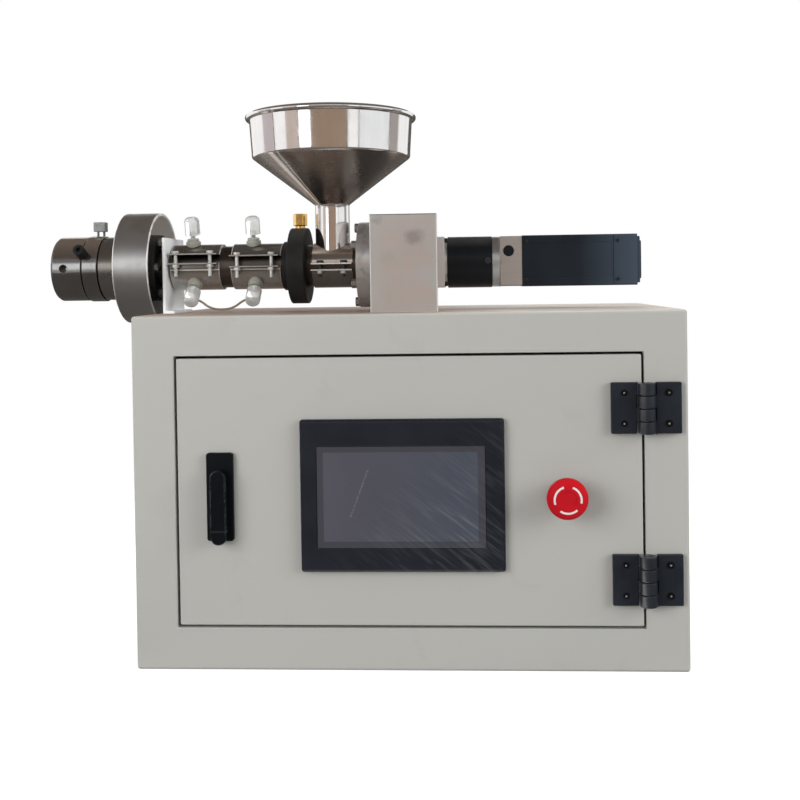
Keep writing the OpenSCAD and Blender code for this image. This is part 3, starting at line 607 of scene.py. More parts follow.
def milled_block(name):
    """Milled aluminium with pinkish and grey clouds, one dark thumb mark, nicks near the right edge, painted
    edge highlights and a painted shade line along the top.
    """
    material, tree, shader = new_finish(name)
    fine = use_group(tree, "fine_grain", Grain=420.0, Blotch=26.0)
    marks = use_group(tree, "tool_marks", Along=(700.0, 700.0, 22.0))
    place = place_in(tree)
    axes = parts(tree, place)
    pink = use_group(tree, "hand_smudges", Size=21.0, Start=0.40, Full=0.66)["Mask"]
    base = mix_colour(tree, pink, (0.475, 0.445, 0.425, 1.0), (0.53, 0.415, 0.375, 1.0))
    base = mix_colour(tree, times(tree, fine["Tone"], 0.35), base, (0.50, 0.47, 0.45, 1.0))
    base = mix_colour(tree, times(tree, marks["Tone"], 0.10), base, (0.30, 0.28, 0.27, 1.0))
    low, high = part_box("bearing_block")
    # Greyer towards the edges: axis, start, end, share
    for axis, start, end, share in (
        (0, low.x + 0.003, low.x + 0.016, 0.65), (0, high.x - 0.002, high.x - 0.012, 0.5),
        (2, low.z + 0.002, low.z + 0.016, 0.5), (2, high.z - 0.002, high.z - 0.014, 0.35),
    ):
        near = spread(tree, axes[axis], start, end, share, 0.0)
        base = mix_colour(tree, near, base, (0.47, 0.465, 0.435, 1.0))
    # Dark marks with a wavering edge: shares across and up, radius, depth of tone
    waver_by, squash = 0.012, 1.25
    waver = put(tree, "ShaderNodeTexNoise", {"Vector": place, "Scale": 130.0, "Detail": 3.0})
    moved = vectors(tree, "MULTIPLY", waver.outputs["Color"], (waver_by, 0.0, waver_by))
    flat = vectors(tree, "MULTIPLY", vectors(tree, "ADD", place, moved), (1.0, 0.0, squash))
    for x, z, reach, depth in (
        (0.66, 0.765, 0.0125, 0.45), (0.11, 0.94, 0.006, 0.30), (0.26, 0.55, 0.012, 0.10),
    ):
        across = low.x + x * (high.x - low.x) + waver_by / 2
        up = low.z + z * (high.z - low.z) + waver_by / 2
        away = distance(tree, flat, Vector((across, 0.0, up * squash)))
        mark = spread(tree, away, reach * 0.35, reach, depth, 0.0)
        base = mix_colour(tree, mark, base, (0.17, 0.155, 0.15, 1.0))
    side = spread(tree, axes[0], high.x - 0.014, high.x - 0.003)
    nicks = spread(tree, noise(tree, place, 310.0), 0.70, 0.74, 0.0, 0.8)
    base = mix_colour(tree, times(tree, nicks, side), base, (0.12, 0.11, 0.105, 1.0))
    # Painted highlights on the left, right and lower edges and a painted shade line along the top edge: axis,
    # place, half width, tone
    for axis, at, half, tone in (
        (0, low.x, 0.0011, 0.80), (0, high.x, 0.0011, 0.80),
        (2, low.z, 0.0010, 0.70), (2, high.z, 0.0011, 0.09),
    ):
        edge = spread(tree, offset(tree, axes[axis], at), half * 0.6, half, 0.85, 0.0)
        base = mix_colour(tree, edge, base, (tone, tone * 0.985, tone * 0.96, 1.0))
    fill(shader, {
        "Base Color": base, "Roughness": spread(tree, fine["Tone"], 0.0, 1.0, 0.36, 0.5), "Metallic": 0.45,
    })
    emboss(tree, shader, marks["Height"], 0.000012)
    return material


def polished_stainless(name):
    """Polished stainless sheet, spun: faint rings, slow waves that bend reflections, a few wipes, the cone
    painted darker as painted shade and painted highlight streaks on it.
    """
    material, tree, shader = new_finish(name)
    c = colours().hopper
    rings = use_group(tree, "tool_marks", Along=(8.0, 8.0, 1600.0))
    waves = use_group(tree, "fine_grain", Grain=34.0, Blotch=30.0)
    base = mix_colour(tree, waves["Tone"], opaque(c, 0.95), opaque(c, 1.03))
    wipes = use_group(tree, "hand_smudges", Size=38.0, Start=0.55, Full=0.78)["Mask"]
    base = mix_colour(tree, times(tree, wipes, 0.25), base, opaque((0.72, 0.67, 0.63)))
    # The cone faces down and is painted darker: painted shade
    facing_down = spread(tree, parts(tree, facing(tree))[2], -0.45, -0.7)
    base = mix_colour(tree, facing_down, base, (0.42, 0.378, 0.35, 1.0))
    streaks = use_group(tree, "tool_marks", Along=(170.0, 170.0, 2.5))["Tone"]
    upright = times(tree, streaks, spread(tree, facing_down, 0.0, 1.0, 0.22, 0.10))
    base = mix_colour(tree, upright, base, opaque(c, 0.55))
    # Painted highlights: light streaks on the cone: angle from the front, half width in degrees, share
    centre = middle_of("hopper_wall")
    axes = parts(tree, place_in(tree))
    beside = maths(tree, "SUBTRACT", axes[0], centre.x)
    ahead = maths(tree, "SUBTRACT", centre.y, axes[1])
    turn = maths(tree, "ARCTAN2", beside, ahead)
    shine = 1.0
    for at, half, share in ((-40.0, 4.0, 0.85), (-33.0, 1.6, 0.5), (-47.0, 18.0, 0.36)):
        off, reach = offset(tree, turn, math.radians(at)), math.radians(half)
        glare_streak = times(tree, spread(tree, off, reach * 0.3, reach, share, 0.0), facing_down)
        base = mix_colour(tree, glare_streak, base, (0.95, 0.88, 0.81, 1.0))
        shine = blend(tree, glare_streak, shine, 0.0)
    gloss = spread(tree, rings["Tone"], 0.0, 1.0, 0.06, 0.10)
    for mask, share in ((wipes, 0.07), (streaks, 0.04), (facing_down, 0.15)):
        gloss = maths(tree, "ADD", gloss, times(tree, mask, share))
    fill(shader, {"Metallic": shine, "Base Color": base, "Roughness": gloss})
    spun = {"Height": rings["Height"], "Strength": 1.0, "Distance": 0.0000016}
    wavy = {"Height": waves["Height"], "Strength": 1.0, "Distance": 0.00005}
    wavy["Normal"] = put(tree, "ShaderNodeBump", spun).outputs[0]
    tree.links.new(put(tree, "ShaderNodeBump", wavy).outputs[0], shader.inputs["Normal"])
    return material


def saddle_bolts(name):
    """Black bolts with bright nuts under the lower tab."""
    material, tree, shader = new_finish(name)
    fine = use_group(tree, "fine_grain", Grain=900.0, Blotch=160.0)
    up = parts(tree, place_in(tree))[2]
    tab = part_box("hopper_clamp")[1].z - 0.0015
    above = spread(tree, up, tab - 0.0002, tab)
    below = spread(tree, up, tab - 0.0035, tab - 0.0033, 1.0, 0.0)
    dark = maths(tree, "MAXIMUM", above, below)
    light = mix_colour(tree, fine["Tone"], (0.50, 0.49, 0.47, 1.0), (0.66, 0.65, 0.62, 1.0))
    base = mix_colour(tree, dark, light, (0.022, 0.021, 0.020, 1.0))
    edge_mask = use_group(tree, "rubbed_edges", Width=0.0004, Amount=0.5)["Mask"]
    base = mix_colour(tree, edge_mask, base, (0.4, 0.39, 0.37, 1.0))
    fill(shader, {
        "Base Color": base, "Metallic": spread(tree, dark, 0.0, 1.0, 0.8, 0.0),
        "Roughness": spread(tree, fine["Tone"], 0.0, 1.0, 0.26, 0.4),
    })
    return material


def milky_silicone(name):
    """Milky clear silicone with a slightly uneven skin."""
    material, tree, shader = new_finish(name)
    haze = use_group(tree, "fine_grain", Grain=420.0, Blotch=160.0)
    base = mix_colour(tree, haze["Tone"], (0.76, 0.765, 0.755, 1.0), (0.86, 0.86, 0.845, 1.0))
    fill(shader, {
        "Base Color": base, "Roughness": spread(tree, haze["Tone"], 0.0, 1.0, 0.10, 0.22),
        "Transmission Weight": 0.62, "IOR": 1.41,
    })
    emboss(tree, shader, haze["Height"], 0.00006)
    return material


def film_fold_sheen(tree):
    """Folds of the clear film: slanting streaks that gather towards the lower right, as a mask for painted
    sheen, and their height.
    """
    place = place_in(tree)
    slant = {"Vector": place, "Angle": math.radians(-38.0)}
    turned = put(tree, "ShaderNodeVectorRotate", slant, rotation_type="Y_AXIS").outputs[0]
    folds = noise(tree, vectors(tree, "MULTIPLY", turned, (26.0, 1.0, 300.0)), 1.0, 3.0, 0.35)
    axes = parts(tree, place)
    corner = maths(tree, "SUBTRACT", axes[0], maths(tree, "SUBTRACT", axes[2], 0.1755))
    where = spread(tree, corner, -0.03, 0.13)
    return times(tree, spread(tree, folds, 0.48, 0.72), where), folds


def panel_housing(name):
    """Blue-black moulded housing under its clear film."""
    material, tree, shader = new_finish(name)
    c = colours().panel
    fine = use_group(tree, "fine_grain", Grain=2400.0, Blotch=20.0)
    streaks, folds = film_fold_sheen(tree)
    base = mix_colour(tree, fine["Tone"], opaque(c, 0.85), opaque(c, 1.2))
    # Painted sheen: paler streaks where the film folds catch light
    base = mix_colour(tree, times(tree, streaks, 0.07), base, (0.5, 0.52, 0.56, 1.0))
    edge_mask = use_group(tree, "rubbed_edges", Width=0.0012, Amount=0.35)["Mask"]
    base = mix_colour(tree, edge_mask, base, (0.20, 0.20, 0.22, 1.0))
    fill(shader, {
        "Base Color": base, "Roughness": spread(tree, fine["Tone"], 0.0, 1.0, 0.26, 0.38),
        "Specular IOR Level": 0.2, "Coat Weight": 0.2, "Coat Roughness": 0.08,
    })
    emboss(tree, shader, folds, 0.0004)
    return material


def scratch(tree, away, start, end):
    """A fine broken scratch between two points of the screen."""
    run = end - start
    from_start = vectors(tree, "SUBTRACT", away, start)
    along = {0: from_start, 1: run / run.length_squared}
    share = put(tree, "ShaderNodeVectorMath", along, operation="DOT_PRODUCT").outputs["Value"]
    held = put(tree, "ShaderNodeClamp", {0: share}).outputs[0]
    foot = put(tree, "ShaderNodeVectorMath", {0: run, "Scale": held}, operation="SCALE").outputs[0]
    waver = times(tree, noise(tree, away, 90.0), 0.0010)
    off = offset(tree, distance(tree, from_start, foot), waver)
    line = spread(tree, off, 0.00008, 0.00032, 1.0, 0.0)
    return times(tree, line, spread(tree, noise(tree, away, 700.0), 0.45, 0.6))


def screen_glass(name):
    """Unlit screen: warm grey to the left, cooler to the right, with film streaks as painted sheen and one
    fine scratch.
    """
    material, tree, shader = new_finish(name)
    c = Vector(colours().screen)
    streaks, folds = film_fold_sheen(tree)
    axes = parts(tree, place_in(tree))
    warm, cool = c * Vector((1.12, 1.03, 1.04)), c * Vector((0.8, 0.93, 1.0))
    base = mix_colour(tree, spread(tree, axes[0], -0.085, 0.075), opaque(warm), opaque(cool))
    cloud = use_group(tree, "fine_grain", Grain=60.0, Blotch=14.0)
    base = mix_colour(tree, times(tree, cloud["Tone"], 0.25), base, opaque(c, 1.35))
    # Painted sheen: paler streaks where the film folds catch light
    base = mix_colour(tree, times(tree, streaks, 0.3), base, (0.30, 0.32, 0.36, 1.0))
    away = put(tree, "ShaderNodeCombineXYZ", {0: axes[0], 2: axes[2]}).outputs[0]
    line = scratch(tree, away, Vector((-0.0385, 0.0, 0.2010)), Vector((-0.0560, 0.0, 0.1555)))
    base = mix_colour(tree, times(tree, line, 0.55), base, (0.42, 0.42, 0.44, 1.0))
    # The picture ends a little inside the glass
    low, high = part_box("panel_screen")
    fade = 0.0004
    left = spread(tree, axes[0], low.x + 0.0062, low.x + 0.0062 + fade)
    right = spread(tree, axes[0], high.x - 0.0078, high.x - 0.0078 + fade, 1.0, 0.0)
    lower = spread(tree, axes[2], low.z + 0.0064, low.z + 0.0064 + fade)
    upper = spread(tree, axes[2], high.z - 0.0058, high.z - 0.0058 + fade, 1.0, 0.0)
    lit = times(tree, times(tree, left, right), times(tree, lower, upper))
    # Painted sheen of the film folds on the dark border as well
    shade = times(tree, streaks, 0.25)
    border = mix_colour(tree, shade, (0.056, 0.056, 0.068, 1.0), (0.2, 0.21, 0.24, 1.0))
    fill(shader, {
        "Base Color": mix_colour(tree, lit, border, base),
        "Roughness": spread(tree, cloud["Tone"], 0.0, 1.0, 0.28, 0.4),
        "Specular IOR Level": 0.2, "Coat Weight": 0.15, "Coat Roughness": 0.1,
    })
    emboss(tree, shader, folds, 0.00025)
    return material


SPECIAL = {
    make.__name__: make
    for make in (
        hinge_enamel, milled_block, polished_stainless, saddle_bolts, milky_silicone, panel_housing,
        screen_glass,
    )
}


def coat(name):
    """The finish of that name, built on its first use."""
    if name in bpy.data.materials:
        return bpy.data.materials[name]
    if name in SPECIAL:
        return SPECIAL[name](name)
    values = dict(FINISHES[name])
    colour = values.pop("colour")
    if isinstance(colour, str):
        colour = getattr(colours(), colour)
    return finish(name, colour, **values)


# Mesh helpers

SHARP = 32.0  # degrees between faces from which an edge counts as sharp


def add_object(name, mesh):
    obj = bpy.data.objects.new(name, mesh)
    bpy.context.scene.collection.objects.link(obj)
    return obj


def settle(obj):
    """Turns the evaluated object into a plain mesh and clears its modifiers."""
    bpy.context.view_layer.update()
    depsgraph = bpy.context.evaluated_depsgraph_get()
    mesh = bpy.data.meshes.new_from_object(obj.evaluated_get(depsgraph), depsgraph=depsgraph)
    old = obj.data
    obj.modifiers.clear()
    obj.data = mesh
    mesh.name = obj.name
    bpy.data.meshes.remove(old)
    return obj


def rounded(obj, width, segments=2, angle=SHARP):
    """Rounds edges sharper than the angle and keeps the flats flat."""
    obj.data.shade_smooth()
    bevel = obj.modifiers.new("edge_round", "BEVEL")
    bevel.width = width
    bevel.segments = segments
    bevel.limit_method = "ANGLE"
    bevel.angle_limit = math.radians(angle)
    bevel.use_clamp_overlap = False
    bevel.miter_outer = "MITER_ARC"
    weight = obj.modifiers.new("face_weight", "WEIGHTED_NORMAL")
    weight.mode = "FACE_AREA"
    weight.weight = 100
    weight.keep_sharp = True
    return settle(obj)


def merged_copy(node):
    """A solid as one mesh, with loose triangles joined and flat faces cleaned."""
    bm = bmesh.new()
    bm.from_mesh(frame["nodes"][node].data)
    bmesh.ops.remove_doubles(bm, verts=bm.verts, dist=0.000004)
    bmesh.ops.dissolve_limit(bm, angle_limit=math.radians(0.3), verts=bm.verts, edges=bm.edges)
    return bm


def mesh_from(bm, name):
    mesh = bpy.data.meshes.new(name)
    bm.to_mesh(mesh)
    bm.free()
    return mesh


def take_place(obj, body, slot, material, *nodes):
    obj.data.materials.clear()
    obj.data.materials.append(material)
    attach(obj, body)
    if nodes:
        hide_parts(*nodes)
    return obj


def body_of(node):
    bodies = frame["record"]["behaviour"]["bodies"]
    return next(body for body, members in bodies.items() if node in members)


def slot_of(node):
    return next(s["material_slot"] for s in frame["record"]["subparts"] if s["node"] == node)


def smooth(obj, angle):
    """Smooth shading with sharp edges above an angle."""
    obj.data.shade_smooth()
    obj.data.set_sharp_from_angle(angle=math.radians(angle))
    return obj


def dress(name, node, look, width=None, segments=2, angle=SHARP):
    """A copy of a solid with rounded edges and a finish, which stands for it."""
    width = sizes().edge_round if width is None else width
    obj = add_object(name, mesh_from(merged_copy(node), name))
    if width > 0:
        rounded(obj, width, segments, angle)
    else:
        smooth(obj, angle)
    return take_place(obj, body_of(node), slot_of(node), coat(look), node)


def halves(node, border, width, *names):
    """A solid as two pieces, left and right of a place along X, each with its two ends."""
    for name, right in zip(names, (False, True)):
        bm = merged_copy(node)
        spare = [f for f in bm.faces if (f.calc_center_median().x > border) != right]
        bmesh.ops.delete(bm, geom=spare, context="FACES")
        along = [v.co.x for v in bm.verts]
        yield rounded(add_object(name, mesh_from(bm, name)), width), min(along), max(along)


def lathe(name, rings, centre, turn=None, steps=96, foot=None, sharp=SHARP):
    """Spins (radius, height) rings about Z; foot gives the height of a ring that has none."""
    bm = bmesh.new()
    loops = []
    for radius, height in rings:
        if radius < 1e-7:
            loops.append([bm.verts.new((0.0, 0.0, height))])
            continue
        loop = []
        for k in range(steps):
            a = 2 * math.pi * k / steps
            x, y = radius * math.cos(a), radius * math.sin(a)
            loop.append(bm.verts.new((x, y, height if height is not None else foot(x, y))))
        loops.append(loop)
    for a, b in zip(loops, loops[1:]):
        for k in range(steps):
            n = (k + 1) % steps
            if len(a) == 1:
                bm.faces.new((a[0], b[n], b[k]))
            elif len(b) == 1:
                bm.faces.new((a[k], a[n], b[0]))
            else:
                bm.faces.new((a[k], a[n], b[n], b[k]))
    if len(loops[0]) > 1 and rings[0] == rings[-1]:
        bmesh.ops.remove_doubles(bm, verts=bm.verts, dist=1e-7)
    matrix = Matrix.Translation(centre)
    if turn:
        matrix = matrix @ turn
    bmesh.ops.transform(bm, matrix=matrix, verts=bm.verts)
    bmesh.ops.recalc_face_normals(bm, faces=bm.faces)
    return smooth(add_object(name, mesh_from(bm, name)), sharp)


def arc(centre, radius, start, end, steps):
    """Points of an arc in the (radius, height) plane."""
    turns = [math.radians(start + (end - start) * k / steps) for k in range(steps + 1)]
    return [(centre[0] + radius * math.cos(a), centre[1] + radius * math.sin(a)) for a in turns]


def block(low, high):
    """A plain box as a mesh under construction."""
    bm = bmesh.new()
    bmesh.ops.create_cube(bm, size=1.0)
    bmesh.ops.scale(bm, vec=Vector(high) - Vector(low), verts=bm.verts)
    bmesh.ops.translate(bm, vec=(Vector(low) + Vector(high)) / 2, verts=bm.verts)
    return bm


def cut(obj, bm, name):
    """Cuts a tool mesh out of an object for good."""
    tool = add_object(name, mesh_from(bm, name))
    modifier = obj.modifiers.new("cut", "BOOLEAN")
    modifier.operation = "DIFFERENCE"
    modifier.solver = "EXACT"
    modifier.object = tool
    settle(obj)
    bpy.data.objects.remove(tool)
    return obj


# Geometry Nodes


def tree_inputs(tree, inputs):
    tree.interface.new_socket("Geometry", in_out="INPUT", socket_type="NodeSocketGeometry")
    for label, kind, default in inputs:
        socket = tree.interface.new_socket(label, in_out="INPUT", socket_type=kind)
        if default is not None:
            socket.default_value = default
    tree.interface.new_socket("Geometry", in_out="OUTPUT", socket_type="NodeSocketGeometry")
    return tree.nodes.new("NodeGroupInput").outputs, tree.nodes.new("NodeGroupOutput").inputs


def hand_over(tree, node, given, out):
    """Makes a node's geometry real, gives it the finish and ends the tree with it."""
    real = put(tree, "GeometryNodeRealizeInstances", {"Geometry": node.outputs[0]}).outputs[0]
    dressed = put(tree, "GeometryNodeSetMaterial", {"Geometry": real, "Material": given["Finish"]})
    tree.links.new(dressed.outputs[0], out["Geometry"])


def screw_tree():
    """Screw heads on points: chamfered, with a cross or hexagon recess, turned to each point's axis."""
    tree = bpy.data.node_groups.new("screw_heads", "GeometryNodeTree")
    given, out = tree_inputs(
        tree,
        [
            ("Head Height", "NodeSocketFloat", 0.4),
            ("Top Share", "NodeSocketFloat", 0.85),
            ("Hexagon", "NodeSocketBool", False),
            ("Finish", "NodeSocketMaterial", None),
        ],
    )
    shape = {"Vertices": 28, "Radius Top": given["Top Share"], "Radius Bottom": 1.0}
    head = put(tree, "GeometryNodeMeshCone", {**shape, "Depth": given["Head Height"]})
    bars = put(tree, "GeometryNodeJoinGeometry")
    for size in ((1.2, 0.24, 0.4), (0.24, 1.2, 0.4)):
        bar = put(tree, "GeometryNodeMeshCube", {"Size": size})
        tree.links.new(bar.outputs["Mesh"], bars.inputs[0])
    key = put(tree, "GeometryNodeMeshCylinder", {"Vertices": 6, "Radius": 0.52, "Depth": 0.5})
    pick = put(tree, "GeometryNodeSwitch", {"Switch": given["Hexagon"]}, input_type="GEOMETRY")
    tree.links.new(bars.outputs[0], pick.inputs["False"])
    tree.links.new(key.outputs["Mesh"], pick.inputs["True"])
    lift = put(tree, "ShaderNodeCombineXYZ", {2: given["Head Height"]})
    moved = {"Geometry": pick.outputs[0], "Translation": lift.outputs[0]}
    raised = put(tree, "GeometryNodeTransform", moved)
    hollow = put(tree, "GeometryNodeMeshBoolean", {"Mesh 1": head.outputs["Mesh"]}, operation="DIFFERENCE")
    tree.links.new(raised.outputs[0], hollow.inputs["Mesh 2"])
    axis = put(tree, "GeometryNodeInputNamedAttribute", {"Name": "axis"}, data_type="FLOAT_VECTOR")
    size = put(tree, "GeometryNodeInputNamedAttribute", {"Name": "head_radius"}, data_type="FLOAT")
    spin = put(tree, "GeometryNodeInputNamedAttribute", {"Name": "spin"}, data_type="FLOAT")
    turn_vector = put(tree, "ShaderNodeCombineXYZ", {2: spin.outputs["Attribute"]})
    own = put(tree, "FunctionNodeEulerToRotation", {0: turn_vector.outputs[0]})
    faced = put(tree, "FunctionNodeAlignRotationToVector", {"Vector": axis.outputs["Attribute"]}, axis="Z")
    turned = put(
        tree, "FunctionNodeRotateRotation", {0: faced.outputs[0], 1: own.outputs[0]}, rotation_space="LOCAL"
    )
    points = put(tree, "GeometryNodeMeshToPoints", {"Mesh": given["Geometry"]})
    placed = put(
        tree, "GeometryNodeInstanceOnPoints",
        {
            "Points": points.outputs[0],
            "Instance": hollow.outputs["Mesh"],
            "Rotation": turned.outputs[0],
            "Scale": size.outputs["Attribute"],
        },
    )
    hand_over(tree, placed, given, out)
    return tree


def lead_tree():
    """A round lead along a line of points."""
    tree = bpy.data.node_groups.new("round_lead", "GeometryNodeTree")
    given, out = tree_inputs(
        tree,
        [
            ("Diameter", "NodeSocketFloat", 0.0024),
            ("Steps", "NodeSocketInt", 72),
            ("Finish", "NodeSocketMaterial", None),
        ],
    )
    line = put(tree, "GeometryNodeMeshToCurve", {"Mesh": given["Geometry"]})
    smooth = put(tree, "GeometryNodeCurveSplineType", {"Curve": line.outputs[0]}, spline_type="CATMULL_ROM")
    even = put(tree, "GeometryNodeResampleCurve", {"Curve": smooth.outputs[0], "Count": given["Steps"]})
    half = times(tree, given["Diameter"], 0.5)
    ring = put(tree, "GeometryNodeCurvePrimitiveCircle", {"Resolution": 14, "Radius": half}).outputs[0]
    path = {"Curve": even.outputs[0], "Profile Curve": ring, "Fill Caps": True}
    tube = put(tree, "GeometryNodeCurveToMesh", path)
    hand_over(tree, tube, given, out)
    return tree


def grow(obj, build, tree_name, **values):
    """Runs a Geometry Nodes tree on an object and keeps the result as a plain mesh."""
    tree = bpy.data.node_groups.get(tree_name) or build()
    modifier = obj.modifiers.new(tree_name, "NODES")
    modifier.node_group = tree
    for item in tree.interface.items_tree:
        key = item.name.replace(" ", "_").lower()
        if item.in_out == "INPUT" and key in values:
            modifier[item.identifier] = values[key]
    return settle(obj)


def screws(name, body, slot, look, places, top_share, height, hexagon=False):
    """Screw heads at (place, axis, radius, spin), one mesh for a body."""
    material = coat(look)
    mesh = bpy.data.meshes.new(name)
    mesh.from_pydata([p[0] for p in places], [], [])
    for label, kind in (("axis", "FLOAT_VECTOR"), ("head_radius", "FLOAT"), ("spin", "FLOAT")):
        mesh.attributes.new(label, kind, "POINT")
    for k, (_, way, size, turn) in enumerate(places):
        mesh.attributes["axis"].data[k].vector = way
        mesh.attributes["head_radius"].data[k].value = size
        mesh.attributes["spin"].data[k].value = turn
    obj = grow(
        add_object(name, mesh), screw_tree, "screw_heads",
        head_height=height, top_share=top_share, hexagon=hexagon, finish=material,
    )
    return take_place(smooth(obj, 30.0), body, slot, material)


# Pieces


class CabinetBuild(bpy.types.Operator):
    """Folded sheet cabinet as one welded shell, and the pan door"""

    bl_idname = "extruder.cabinet"
    bl_label = "Cabinet and door"

    def execute(self, context):
        walls = (
            "cabinet_top", "cabinet_bottom", "cabinet_side_walls", "cabinet_back_wall", "frame_rails",
            "frame_stiles",
        )
        low = Vector(tuple(min(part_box(n)[0][k] for n in walls) for k in range(3)))
        high = Vector(tuple(max(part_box(n)[1][k] for n in walls) for k in range(3)))
        frame_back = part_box("frame_rails")[1].y
        door_low, door_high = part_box("door_panel")
        sheet = sizes().sheet
        door_gap, spare = 0.0025, 0.01
        obj = add_object("cabinet_shell", mesh_from(block(low, high), "cabinet_shell"))
        rounded(obj, sizes().fold_radius, 4)
        inside = block(
            (low.x + sheet, frame_back, low.z + sheet), (high.x - sheet, high.y - sheet, high.z - sheet)
        )
        cut(obj, inside, "inside_tool")
        doorway = block(
            (door_low.x - door_gap, low.y - spare, door_low.z - door_gap),
            (door_high.x + door_gap, frame_back + spare, door_high.z + door_gap),
        )
        cut(obj, doorway, "doorway_tool")
        rounded(obj, 0.0009, 2, 50.0)
        take_place(obj, "base", "cabinet_paint", coat("powder_coat"), *walls)
        dress("door_skin", "door_panel", "powder_coat", 0.0016, 3)
        return {"FINISHED"}


class HingeBuild(bpy.types.Operator):
    """Black hinges with their knuckles, pins and cross head screws, and bright dots in the screws as painted
    glints
    """

    bl_idname = "extruder.hinges"
    bl_label = "Hinges"

    def execute(self, context):
        dress("door_leaves", "door_hinge_leaves", "hinge_enamel", 0.0011, 3, 40.0)
        dress("frame_leaves", "frame_hinge_leaves", "hinge_enamel", 0.0011, 3, 40.0)
        dress("pin_ends", "hinge_pins", "hinge_enamel")
        leaf_thick, leaf_tall, across, half_pitch = 0.006, 0.05, 0.0215, 0.015
        pin = middle_of("hinge_pins").x
        leaf_low, leaf_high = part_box("door_hinge_leaves")
        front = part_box("door_panel")[0].y - leaf_thick - 0.0004
        head = sizes().screw_head
        for name, body, side, radius in (
            ("door_leaf_screws", "door", -1, head * 0.86), ("frame_leaf_screws", "base", 1, head),
        ):
            places = [
                (
                    Vector((pin + side * across, front, z + s * half_pitch)),
                    Vector((0.0, -1.0, 0.0)),
                    radius,
                    0.35 + 1.3 * s + 2.1 * side + 7.0 * z,
                )
                for z in (leaf_high.z - leaf_tall / 2, leaf_low.z + leaf_tall / 2)
                for s in (-1, 1)
            ]
            screws(name, body, "hinge_black", "hinge_screws", places, 0.8, 0.28)
            # Small bright zinc domes in the middle of each screw are painted glints
            ahead = Vector((0.0, 0.0009, 0.0))
            glint_dots = [(at - ahead, way, size * 0.27, turn) for at, way, size, turn in places]
            screws(name + "_centres", body, "hinge_black", "zinc_plate", glint_dots, 0.5, 0.5)
        return {"FINISHED"}


class PanelBuild(bpy.types.Operator):
    """Operator panel with its screen, under a clear film"""

    bl_idname = "extruder.panel"
    bl_label = "Operator panel"

    def execute(self, context):
        dress("panel_housing", "panel_bezel", "panel_housing", 0.0012, 3, 25.0)
        dress("screen_glass", "panel_screen", "screen_glass", 0.0004)
        return {"FINISHED"}


class StopBuild(bpy.types.Operator):
    """Mushroom stop button with three arcs"""

    bl_idname = "extruder.stop_button"
    bl_label = "Stop button"

    def execute(self, context):
        dress("stop_ring", "stop_collar", "stop_collar", 0.0006)
        dress("stop_shaft", "stop_stem", "stop_collar", 0.0004)
        low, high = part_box("stop_head")
        middle = middle_of("stop_head")
        centre = Vector((middle.x, high.y, middle.z))
        r = (high.x - low.x) / 2
        thick = high.y - low.y
        face = thick - 0.0002
        # Radius and height from the back of the head, over its round edge to the dished middle
        profile = [(0.0, 0.0), (r - 0.004, 0.0), (r - 0.0025, 0.0003), (r - 0.0008, 0.0028), (r, 0.006)]
        profile += arc((r - 0.0052, thick - 0.0061), 0.0052, 0.0, 78.0, 8)
        profile += [(0.0136, face - 0.0004), (0.0124, face - 0.00012), (0.0092, face)]
        profile += [(0.0086, face - 0.0001), (0.0082, face - 0.0006), (0.0070, face - 0.0007)]
        profile += [(0.0, face - 0.0007)]
        forward = Matrix.Rotation(math.radians(90), 4, "X")
        head = lathe("stop_mushroom", profile, centre, forward)
        take_place(head, "stop_head", "stop_red", coat("signal_red"), "stop_head")
        bm = bmesh.new()
        for start, end in ((108.0, 199.0), (-13.0, 69.0), (235.0, 312.0)):
            self.add_arc(bm, start, end, face)
        bmesh.ops.transform(bm, matrix=Matrix.Translation(centre) @ forward, verts=bm.verts)
        bmesh.ops.recalc_face_normals(bm, faces=bm.faces)
        marks = add_object("stop_arcs", mesh_from(bm, "stop_arcs"))
        take_place(marks, "stop_head", "stop_red", coat("stop_arcs"))
        return {"FINISHED"}

    @staticmethod
    def add_arc(bm, start, end, face):
        """One printed arc as a thin closed strip."""
        steps = 26
        # Side of the arc's middle line in widths, and height above the face
        corners = ((-0.5, -0.0006), (-0.5, 0.00004), (0.5, -0.00012), (0.5, -0.0008))
        rows = []
        for k in range(steps + 1):
            a = math.radians(start + (end - start) * k / steps)
            row = []
            for side, up in corners:
                at = sizes().arc_radius + side * sizes().arc_width
                row.append(bm.verts.new((at * math.cos(a), at * math.sin(a), face + up)))
            rows.append(row)
        for one, two in zip(rows, rows[1:]):
            for j in range(4):
                n = (j + 1) % 4
                bm.faces.new((one[j], one[n], two[n], two[j]))
        bm.faces.new(rows[0])
        bm.faces.new(rows[-1])


class HandleBuild(bpy.types.Operator):
    """Door handle: flat plate and lever"""

    bl_idname = "extruder.handle"
    bl_label = "Door handle"

    def execute(self, context):
        dress("handle_base", "handle_plate", "handle_enamel", 0.0009, 3)
        dress("handle_grip", "handle_lever", "lever_enamel", 0.0014, 4, 40.0)
        return {"FINISHED"}


